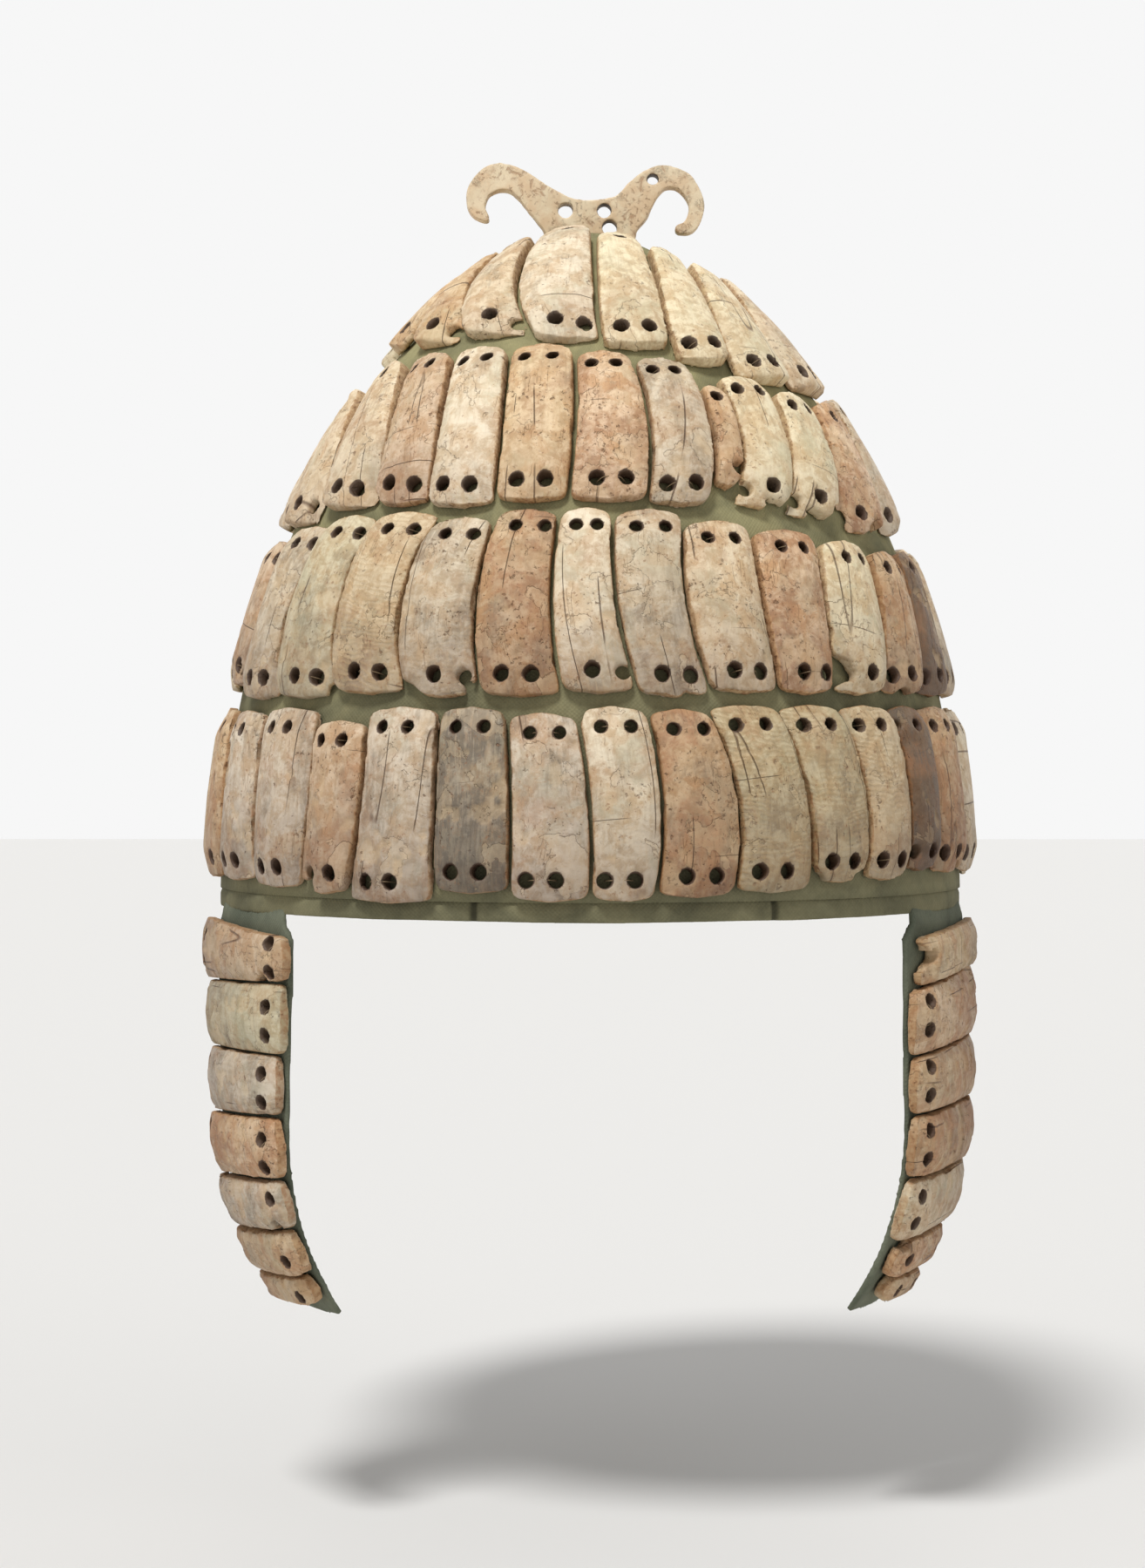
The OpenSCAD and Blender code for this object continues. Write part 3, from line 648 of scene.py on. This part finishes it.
def hole_rims(piece, largest):
    """Middle and radius of each round hole's rims in a merged CAD copy: small loops of sharp edges."""
    bm = bmesh.new()
    bm.from_mesh(piece.data)
    sharp = {e for e in bm.edges if len(e.link_faces) == 2 and e.calc_face_angle(0.0) > 0.6}
    rims = []
    while sharp:
        loop = {sharp.pop()}
        edge = list(loop)
        while edge:
            near = {e for v in edge.pop().verts for e in v.link_edges if e in sharp}
            sharp -= near
            loop |= near
            edge += near
        co = np.array([v.co for v in {v for e in loop for v in e.verts}])
        centre = co.mean(0)
        reach = np.linalg.norm(co - centre, axis=1)
        if reach.max() < largest and reach.std() < 0.12 * reach.mean() and len(co) > 7:
            rims.append((centre, reach.mean()))
    bm.free()
    return rims


def plate_axes(co, lengthwise):
    """Middle of a plate and its directions along, across and out, from its own shape."""
    centre = co.mean(0)
    _, _, axes = np.linalg.svd(co - centre, full_matrices=False)
    along = axes[0] * (1 if axes[0] @ np.array(lengthwise) > 0 else -1)
    outward = centre - np.array([0, 0, 30 * MM])
    out = axes[2] * (1 if axes[2] @ outward > 0 else -1)
    return centre, along, np.cross(along, out), out


def hole_marks(co, face, rims, centre, out):
    """How far each vertex lies in a hole, from 0 to 1, for the painted shade inside it, and the middle
    of each hole on the worn face.
    """
    hole_shade = np.zeros(len(co))
    brinks = []
    for rim, radius in rims:
        if (rim - centre) @ out > 0.2 * MM:
            away = co - rim
            flat = away - np.outer(away @ out, out)
            close = np.linalg.norm(flat, axis=1)
            brink = (close < radius + 1.2 * MM) & (face > 0.6)
            if brink.any():
                brinks.append(rim + out * (away[brink] @ out).mean())
            hole_shade = np.maximum(hole_shade, 1 - rise(close, radius + 0.1 * MM, radius + 0.75 * MM))
    return hole_shade * (1 - 0.85 * rise(face, 0.6, 0.9)), brinks


def weathered(plate, look, fade_and_shade, seed, lengthwise, settings):
    """Turns one CAD plate into worn tusk: soft edges, flaked layers, chipped ends, an uneven face.

    fade_and_shade scales the look's tone, with painted shade for the lower rows and the guards as
    well as soiling, and lengthwise is roughly the way that the plate runs. Gives back where its holes
    open on the worn face, and its directions along and out.
    """
    rims = hole_rims(plate, PLATE_HOLE)
    apply(plate, "REMESH", mode="VOXEL", voxel_size=settings.grain)
    apply(plate, "SMOOTH", factor=0.5, iterations=3)
    co = points(plate)
    centre, along, across, out = plate_axes(co, lengthwise)
    tone, stain, grey, rings = LOOKS[look]
    v = (co - centre) @ along
    u = (co - centre) @ across
    half = np.abs(v).max()
    u = u - np.polyval(np.polyfit(v, u, 2), v)
    bins = np.linspace(-half, half, 11)
    mids = (bins[1:] + bins[:-1]) / 2
    wide = [np.abs(u[(v >= a) & (v <= b)]).max(initial=4 * MM) for a, b in zip(bins[:-1], bins[1:])]
    s = u / np.interp(v, mids, wide)
    t = v / half

    face = normals(plate) @ out
    front = rise(face, 0.2, 0.7)
    side = (1 - rise(np.abs(face), 0.35, 0.75)) * rise(face, -0.75, -0.2)
    long_edge = rise(np.abs(s), 0.78, 0.97)
    end_edge = rise(np.abs(t), 0.90, 0.98)

    # Plates thin out towards their ends and a little towards their sides
    height = (co - centre) @ out
    back = face < -0.5
    form = np.stack([np.ones(len(co)), u, v, u * u, v * v, u * v], axis=1)
    thick = height - form @ np.linalg.lstsq(form[back], height[back], rcond=None)[0]
    thin = settings.taper * (rise(np.abs(t), 0.66, 1.02) + 0.35 * rise(np.abs(s), 0.55, 1.0))
    co = co - out * (np.clip(thick, 0, None) * thin)[:, None]

    wander = bumps(co, 9 * MM, seed)
    broken = bumps(co, 7.5 * MM, seed + 1) + 0.45 * bumps(co, 2.6 * MM, seed + 2)
    broken += 0.15 * bumps(co, 1.2 * MM, seed)
    limit = 0.62 - 0.22 * stain
    flake = rise(broken, limit, limit + 0.13)
    sink = settings.wander * (0.5 + 0.5 * wander) + settings.flake_depth * flake
    sink += settings.pit_depth * stain * rise(bumps(co, 1.7 * MM, seed + 3), 0.25, 0.8)
    co = co - out * (front * sink)[:, None]
    chip = rise(bumps(co, 5 * MM, seed + 4) + 0.4 * bumps(co, 1.9 * MM, seed + 5), 0.05, 0.9)
    co = co - across * (np.sign(s) * side * long_edge * chip * settings.chip_depth)[:, None]
    co = co - along * (np.sign(t) * side * end_edge * chip * settings.chip_depth)[:, None]
    move_to(plate, co)

    hole_shade, brinks = hole_marks(co, face, rims, centre, out)
    rim = np.maximum(side * np.maximum(long_edge, end_edge), 0.35 * long_edge * front)
    # The stored tone carries the row's painted shade along with its soiling
    remember(plate, "tone", [channel * fade_and_shade for channel in tone[:3]])
    remember(plate, "look", (stain, grey, rings))
    remember(plate, "own", [seed * share % 1 for share in OWN_SHARES])
    remember(plate, "relief", (rim, hole_shade, flake * front))
    lay_map(plate, "plate", np.column_stack([u, v]) * PLATE_MAP)
    return brinks, along, out


def nearest_look(row, bearing, seed):
    """The listed look of a plate seen from the front, or a common one for the rest."""
    listed = FRONT_LOOKS[row]
    near = min(listed, key=lambda b: abs(b - bearing))
    return listed[near] if abs(near - bearing) < 7 else COMMON_LOOKS[seed * 7 % len(COMMON_LOOKS)]


def thread_runs(name, runs):
    """Sewing threads as one mesh: each run is a smooth tube through its points."""
    curve = bpy.data.curves.new(name, "CURVE")
    curve.dimensions = "3D"
    curve.bevel_depth = TWINE_RADIUS
    curve.bevel_resolution = 1
    curve.resolution_u = 4
    curve.use_fill_caps = True
    for run in runs:
        spline = curve.splines.new("BEZIER")
        spline.bezier_points.add(len(run) - 1)
        for point, place in zip(spline.bezier_points, run):
            point.co = place
            point.handle_left_type = "AUTO"
            point.handle_right_type = "AUTO"
    piece = bpy.data.objects.new(name, curve)
    bpy.context.scene.collection.objects.link(piece)
    alone(piece)
    bpy.ops.object.convert(target="MESH")
    return bpy.context.view_layer.objects.active


def hole_pairs(brinks, along):
    """The pairs of neighbouring holes of one plate, at its foot and at its head."""
    ordered = sorted(brinks, key=lambda brink: brink @ along)
    pairs = []
    while len(ordered) > 1:
        a, b = ordered[0], ordered[1]
        if np.linalg.norm(a - b) < PAIR_APART:
            pairs.append((a, b))
            ordered = ordered[2:]
        else:
            ordered = ordered[1:]
    return pairs


def stitch(pair, out):
    """A thread's run out of one hole, across the face and down into the next."""
    a, b = pair
    toward = (b - a) / np.linalg.norm(b - a)
    deep = -3.6 * MM * out
    lift = 0.15 * MM * out
    side = 1.5 * MM * toward
    return [a + deep, a + side * 0.6 - 1.2 * MM * out, a + side * 1.5 + lift, (a + b) / 2 + 1.3 * lift,
            b - side * 1.5 + lift, b - side * 0.6 - 1.2 * MM * out, b + deep]


def cap_point(f, r):
    """Place on the cap's plan at a share f of the way round, where its half rounds have radius r."""
    share = STRAIGHT_SHARE
    part = (f % 1.0) * 2
    half = part // 1
    g = part - half
    swing = np.clip((g - share) / (1 - 2 * share), 0, 1) * np.pi
    ahead = np.where(g < share, g / share, np.where(g > 1 - share, (1 - g) / share, 1.0))
    x = r * np.cos(swing)
    y = CAP_STRAIGHT * ahead + r * np.sin(swing)
    flip = np.where(half > 0, -1.0, 1.0)
    return x * flip, y * flip


def dome_shell(name, inset, wall, steps, relief):
    """A closed shell of one layer of the cap, inset from its outside, with steps of faces round and up.

    relief gives how far in its outer face moves at each place.
    """
    bpy.ops.mesh.primitive_grid_add(x_subdivisions=steps[0], y_subdivisions=steps[1], size=1.0)
    shell = bpy.context.view_layer.objects.active
    shell.name = name
    co = points(shell)
    f = co[:, 0] + 0.5
    climb = co[:, 1] + 0.5
    radius = CAP_RADIUS - inset
    height = CAP_HEIGHT - inset
    z = CAP_LOW.z + (height - CAP_LOW.z) * np.sin(climb * np.pi / 2)
    r = radius * np.power(np.clip(1 - np.power(z / height, DOME_UP), 0, 1), 1 / DOME_IN)
    x, y = cap_point(f, r)
    below_pole = np.where(climb > 0.999, 0.0, 1.0)
    y = y * below_pole
    x = x * below_pole
    reach = np.maximum(np.hypot(x, y), 1e-6)
    moved = relief(np.column_stack([x, y, z]), f)
    x = x - x / reach * moved
    y = y - y / reach * moved
    lay_map(shell, "cloth", np.column_stack([f * 2 * math.pi * CAP_RADIUS, z]))
    move_to(shell, np.column_stack([x, y, z]))
    edit(shell, (bpy.ops.mesh.remove_doubles, {"threshold": 0.002 * MM}),
         (bpy.ops.mesh.normals_make_consistent, {"inside": False}))
    apply(shell, "SOLIDIFY", thickness=wall, offset=-1.0)
    return shell


def flat_map(piece):
    """Lays the cloth map on a narrow piece by its bearing and height."""
    co = points(piece)
    lay_map(piece, "cloth", np.column_stack([np.arctan2(co[:, 0], -co[:, 1]) * CAP_RADIUS, co[:, 2]]))


def folded_hem():
    """The hem as a fold of cloth that puckers, with seams where its lengths meet."""
    hem = merged_copy("hem_band", "hem_fold")
    apply(hem, "REMESH", mode="VOXEL", voxel_size=HEM_GRAIN)
    apply(hem, "SMOOTH", factor=0.5, iterations=4)
    co = points(hem)
    pull = bumps(co * np.array([1, 1, 0.2]), 16 * MM, 31)
    co = co - normals(hem) * (0.2 * MM * (1 + pull))[:, None]
    bearing = np.arctan2(co[:, 0], -co[:, 1] - CAP_STRAIGHT)
    seam = np.zeros(len(co))
    for place in HEM_SEAMS:
        aside = np.abs(bearing - math.radians(place)) * CAP_RADIUS
        seam = np.maximum(seam, 1 - rise(aside, 0.4 * MM, 1.5 * MM))
    co[:, :2] *= (1 - seam * HEM_SEAM_DEPTH / CAP_RADIUS)[:, None]
    top = rise(co[:, 2], HEM_HIGH.z - 1.4 * MM, HEM_HIGH.z - 0.3 * MM)
    co[:, 2] += top * HEM_REACH
    co[:, :2] *= (1 - top * HEM_LEAN / CAP_RADIUS)[:, None]
    move_to(hem, co)
    # The seam mark sinks the seams and carries their painted shade
    remember(hem, "seam", (seam, 0.0, 0.0))
    flat_map(hem)
    return hem


def white_sky(scene, light):
    """A white world that lights the helmet at one level and that the camera sees at another."""
    world = scene.world or bpy.data.worlds.new("sky")
    scene.world = world
    world.use_nodes = True
    sky = Nodes(world.node_tree)
    seen = sky.node("ShaderNodeLightPath", {}, {}, "Is Camera Ray")
    for ray in ("Is Glossy Ray", "Is Transmission Ray"):
        seen = sky.math("MAXIMUM", seen, sky.node("ShaderNodeLightPath", {}, {}, ray))
    level = sky.node("ShaderNodeMapRange", {}, {"Value": seen, "To Min": light, "To Max": BACKGROUND})
    white = sky.node("ShaderNodeBackground", {}, {"Color": (1.0, 1.0, 1.0, 1.0), "Strength": level})
    sky.end("ShaderNodeOutputWorld", white)


def length(name, description, mm):
    """A setting in metres, given in millimetres."""
    return bpy.props.FloatProperty(name=name, description=description, default=mm * MM, unit="LENGTH")


def number(name, description, value):
    """A setting without a unit."""
    return bpy.props.FloatProperty(name=name, description=description, default=value)


def tint(name, description, *screen):
    """A colour setting, given as a screen colour."""
    settings = {"name": name, "description": description, "default": rgb(*screen)[:3]}
    return bpy.props.FloatVectorProperty(subtype="COLOR", **settings)


class HelmetTuskSettings(bpy.types.PropertyGroup):
    """Sizes and colours of the tusk plates and the crest."""

    grain: length("Grain", "Mesh size", 0.73)
    wander: length("Wander", "Unevenness of a face", 0.4)
    flake_depth: length("Flakes", "Depth of a lost layer", 0.4)
    pit_depth: length("Pits", "Depth of pits", 0.35)
    chip_depth: length("Chips", "Depth of chips in the edges", 0.55)
    taper: number("Taper", "Share of a plate's thickness lost at its ends", 0.42)
    stain: tint("Stain", "Rusty stains", 172, 126, 90)
    smoke: tint("Smoke", "Grey burnt patches", 100, 94, 84)
    crack: tint("Crack", "Dirt in cracks", 98, 66, 42)
    pit: tint("Pit", "Dirt in pits", 134, 92, 60)
    flake: tint("Flake", "Bared lower layer", 208, 180, 140)
    rim: tint("Rim", "Ochre edges", 150, 104, 62)
    # Colour of the painted shade inside the holes
    hole_shade: tint("Hole", "Inside the holes", 66, 43, 28)
    bone: tint("Bone", "Light bone", 238, 219, 186)
    bone_warm: tint("Warm bone", "Yellowed bone", 228, 199, 162)


class HelmetClothSettings(bpy.types.PropertyGroup):
    """Sizes and colours of the cloth, felt and leather."""

    wall: length("Wall", "Thickness of the cap's cloth", 1.9)
    weave: number("Weave", "Two threads of the weave, in millimetres", 1.1)
    light: tint("Cloth", "Clean cloth", 148, 143, 110)
    dark: tint("Soiled cloth", "Soiled cloth", 112, 110, 86)
    # The guards' cloth is the cap's cloth in cooler, darker colours: painted shade
    guard_shaded: tint("Guard cloth", "Cloth of the cheek guards", 132, 136, 116)
    guard_dark_shaded: tint("Soiled guard", "Soiled cloth of the guards", 100, 106, 90)
    felt: tint("Felt", "Felt", 172, 160, 134)
    felt_dark: tint("Worn felt", "Worn felt", 140, 126, 100)
    hide: tint("Leather", "Thong leather", 122, 82, 50)
    hide_dark: tint("Worn leather", "Worn leather", 82, 52, 32)


class HelmetStageSettings(bpy.types.PropertyGroup):
    """Camera, lights and floor."""

    distance: length("Distance", "Camera to the helmet's axis", 926)
    eye: length("Eye", "Camera's height over the brim", 46)
    lens: number("Lens", "Focal length in millimetres", 74.4)
    drop: length("Drop", "Floor's distance under the brim", 165)
    key: number("Key", "Strength of the main light", 2.1)
    fill: number("Fill", "Strength of the side lights", 0.35)
    sky: number("Sky", "Strength of the light all round", 0.32)


class HELMET_OT_plates(bpy.types.Operator):
    """Weather every tusk plate of the cap and the guards, and thread their holes"""

    bl_idname = "helmet.plates"
    bl_label = "Tusk plates"

    def execute(self, context):
        settings = context.scene.helmet_tusk
        material = tusk_finish(settings)
        twine = thread_finish(rgb(148, 126, 96))
        seed = 0
        for row in "1234":
            runs = []
            for node in sorted(n for n in frame["nodes"] if n.startswith(f"row_{row}_")):
                plates = islands(merged_copy(node, node + "_tusks"))
                for plate in plates:
                    seed += 1
                    x, y, _ = middle(plate)
                    look = nearest_look(row, math.degrees(math.atan2(x, -y - CAP_STRAIGHT)), seed)
                    brinks, along, out = weathered(plate, look, ROW_TONE_AND_SHADE[row], seed, UPWARDS, settings)
                    if seed % 5 < THREADED:
                        runs += [stitch(pair, out) for pair in hole_pairs(brinks, along)]
                dress(joined(plates, node + "_tusks"), "helmet", "tusk", material, node)
            dress(thread_runs(f"row_{row}_threads", runs), "helmet", "tusk", twine)
        for side in GUARDS:
            runs = []
            for n, look in enumerate(GUARD_LOOKS[side]):
                seed += 1
                node = f"{side}_cheek_plate_{n + 1}"
                plate = merged_copy(node, node + "_tusk")
                brinks, along, out = weathered(plate, look, GUARD_TONE_AND_SHADE, seed, FORWARDS, settings)
                runs += [stitch(pair, out) for pair in hole_pairs(brinks, along)]
                dress(plate, f"{side}_cheek_guard", "tusk", material, node)
            threads = thread_runs(f"{side}_cheek_threads", runs)
            dress(threads, f"{side}_cheek_guard", "tusk", twine)
        return {"FINISHED"}


class HELMET_OT_crest(bpy.types.Operator):
    """Thin and wear the crest's horns"""

    bl_idname = "helmet.crest"
    bl_label = "Horned crest"

    def execute(self, context):
        settings = context.scene.helmet_tusk
        crest = merged_copy("crest", "horned_crest")
        rims = hole_rims(crest, CREST_HOLE)
        apply(crest, "REMESH", mode="VOXEL", voxel_size=CREST_GRAIN)
        apply(crest, "SMOOTH", factor=0.5, iterations=10)
        co = points(crest)
        reach = np.abs(co[:, 0])
        out = rise(reach, 12 * MM, 35 * MM)
        face = np.abs(normals(crest)[:, 1])
        edge = 1 - rise(face, 0.5, 0.95)
        co[:, 1] *= 1 - HORN_THINNING * out
        wear = (0.5 + 0.5 * bumps(co, 6 * MM, 3)) * 0.35 * MM
        wear = wear + edge * 0.2 * MM * (1 + bumps(co, 3 * MM, 5))
        co = co - normals(crest) * wear[:, None]
        move_to(crest, co)
        # How far each vertex lies in a hole, for the painted shade inside it
        hole_shade = np.zeros(len(co))
        for rim, radius in rims:
            close = np.hypot(co[:, 0] - rim[0], co[:, 2] - rim[2])
            hole_shade = np.maximum(hole_shade, 1 - rise(close, radius, radius + 0.7 * MM))
        hole_shade = hole_shade * (1 - 0.8 * rise(face, 0.75, 0.97))
        remember(crest, "relief", (edge, hole_shade, 0.0))
        dress(crest, "helmet", "crest_bone", bone_finish(settings), "crest")
        return {"FINISHED"}


class HELMET_OT_cap(bpy.types.Operator):
    """Lay the cap's cloth over its frame and fold the hem"""

    bl_idname = "helmet.cap"
    bl_label = "Cloth cap"

    def execute(self, context):
        settings = context.scene.helmet_cloth
        material = cloth_finish("cap_cloth", settings.light, settings.dark, settings.weave)

        def relief(co, f):
            gore = np.abs((f * GORES + 0.32) % 1.0 - 0.5)
            seam = 1 - rise(gore * 2 * math.pi * CAP_RADIUS / GORES, 0.2 * MM, 1.6 * MM)
            return 0.35 * MM * seam + 0.12 * MM * (1 + bumps(co, 14 * MM, 21))

        cap = dome_shell("cap_cover", 0.0, settings.wall, CAP_STEPS, relief)
        dress(cap, "helmet", "cap_cloth", material, "cap_cloth")
        hem = folded_hem()
        dress(hem, "helmet", "cap_cloth", material, "hem_band")
        return {"FINISHED"}


class HELMET_OT_lining(bpy.types.Operator):
    """Line the cap with felt and lace the leather thongs inside it"""

    bl_idname = "helmet.lining"
    bl_label = "Lining and thongs"

    def execute(self, context):
        settings = context.scene.helmet_cloth

        def relief(co, _):
            return 0.2 * MM * (1 + bumps(co, 11 * MM, 41))

        felt = dome_shell("felt_layer", LINING_INSET, LINING_WALL, LINING_STEPS, relief)
        dress(felt, "helmet", "felt", felt_finish(settings), "felt_lining")
        material = hide_finish(settings)
        for n, node in enumerate(THONGS):
            thong = merged_copy(node, node.replace("thong", "leather_thong"))
            apply(thong, "REMESH", mode="VOXEL", voxel_size=THONG_GRAIN)
            apply(thong, "SMOOTH", factor=0.5, iterations=3)
            co = points(thong)
            co = co - normals(thong) * (0.12 * MM * (1 + bumps(co, 5 * MM, 51 + n)))[:, None]
            move_to(thong, co)
            dress(thong, "helmet", "thong", material, node)
        return {"FINISHED"}


class HELMET_OT_guards(bpy.types.Operator):
    """Hang the guards' cloth from the hem"""

    bl_idname = "helmet.guards"
    bl_label = "Guard cloth"

    def execute(self, context):
        settings = context.scene.helmet_cloth
        material = cloth_finish("guard_cloth", settings.guard_shaded, settings.guard_dark_shaded, settings.weave)
        joints = {j["name"]: j for j in frame["joints"]}
        for side in GUARDS:
            node = f"{side}_cheek_backing"
            cloth = merged_copy(node, f"{side}_cheek_cloth")
            apply(cloth, "REMESH", mode="VOXEL", voxel_size=GUARD_GRAIN)
            apply(cloth, "SMOOTH", factor=0.5, iterations=3)
            hinge = np.array(joints[f"{side}_cheek_swing"]["pos_m"])
            co = points(cloth)
            top = rise(co[:, 2], hinge[2] - 1.6 * MM, hinge[2])
            co[:, 2] += top * GUARD_LAP
            inward = -hinge * np.array([1, 1, 0]) / np.hypot(hinge[0], hinge[1])
            co = co + np.outer(top * GUARD_TUCK, inward)
            co = co + np.outer(0.25 * MM * bumps(co, 12 * MM, 61), inward)
            move_to(cloth, co)
            flat_map(cloth)
            dress(cloth, None, "guard_cloth", material, node)
            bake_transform(cloth)
        return {"FINISHED"}


class HELMET_OT_stage(bpy.types.Operator):
    """Set the floor, lights and camera"""

    bl_idname = "helmet.stage"
    bl_label = "Stage"

    def execute(self, context):
        settings = context.scene.helmet_stage
        bpy.ops.mesh.primitive_plane_add(size=FLOOR_WIDTH, location=(0, 0, -settings.drop))
        floor = context.view_layer.objects.active
        floor.name = "floor"
        f = Finish("floor")
        f.put(f.shader.inputs["Base Color"], FLOOR_COLOUR)
        f.put(f.shader.inputs["Roughness"], 0.9)
        floor.data.materials.append(f.material)
        for name, place, strength, spread in LAMPS:
            bpy.ops.object.light_add(type="SUN", location=place)
            lamp = context.view_layer.objects.active
            lamp.name = name
            lamp.data.energy = getattr(settings, strength)
            lamp.data.angle = math.radians(spread)
            lean = math.atan2(math.hypot(place[0], place[1]), place[2])
            lamp.rotation_euler = (lean, 0.0, math.atan2(place[0], -place[1]))
        white_sky(context.scene, settings.sky)
        bpy.ops.object.camera_add(location=(0, -settings.distance, settings.eye))
        camera = context.view_layer.objects.active
        camera.data.sensor_fit = "VERTICAL"
        camera.data.sensor_height = SENSOR_HEIGHT
        camera.data.lens = settings.lens
        camera.rotation_euler = (math.radians(90 - CAMERA_TILT), 0, math.radians(CAMERA_TURN))
        context.scene.camera = camera
        context.scene.view_settings.view_transform = "Standard"
        return {"FINISHED"}


OPERATORS = (HELMET_OT_stage, HELMET_OT_plates, HELMET_OT_crest, HELMET_OT_cap, HELMET_OT_lining,
             HELMET_OT_guards)
SETTINGS = {
    "helmet_tusk": HelmetTuskSettings,
    "helmet_cloth": HelmetClothSettings,
    "helmet_stage": HelmetStageSettings,
}


class HELMET_PT_panel(bpy.types.Panel):
    """Lists the helmet's pieces and their settings"""

    bl_idname = "HELMET_PT_panel"
    bl_label = "Boar tusk helmet"
    bl_space_type = "VIEW_3D"
    bl_region_type = "UI"
    bl_category = "Helmet"

    def draw(self, context):
        for operator in OPERATORS:
            self.layout.operator(operator.bl_idname)
        for name, group in SETTINGS.items():
            box = self.layout.box()
            for prop in group.__annotations__:
                box.prop(getattr(context.scene, name), prop)


def register():
    for group in SETTINGS.values():
        bpy.utils.register_class(group)
    for operator in OPERATORS:
        bpy.utils.register_class(operator)
    bpy.utils.register_class(HELMET_PT_panel)
    for name, group in SETTINGS.items():
        setattr(bpy.types.Scene, name, bpy.props.PointerProperty(type=group))


def unregister():
    for name in SETTINGS:
        delattr(bpy.types.Scene, name)
    bpy.utils.unregister_class(HELMET_PT_panel)
    for operator in reversed(OPERATORS):
        bpy.utils.unregister_class(operator)
    for group in SETTINGS.values():
        bpy.utils.unregister_class(group)


def main():
    """Makes every piece in order."""
    register()
    bpy.ops.helmet.stage()
    bpy.ops.helmet.plates()
    bpy.ops.helmet.crest()
    bpy.ops.helmet.cap()
    bpy.ops.helmet.lining()
    bpy.ops.helmet.guards()


if __name__ == "__main__":
    main()
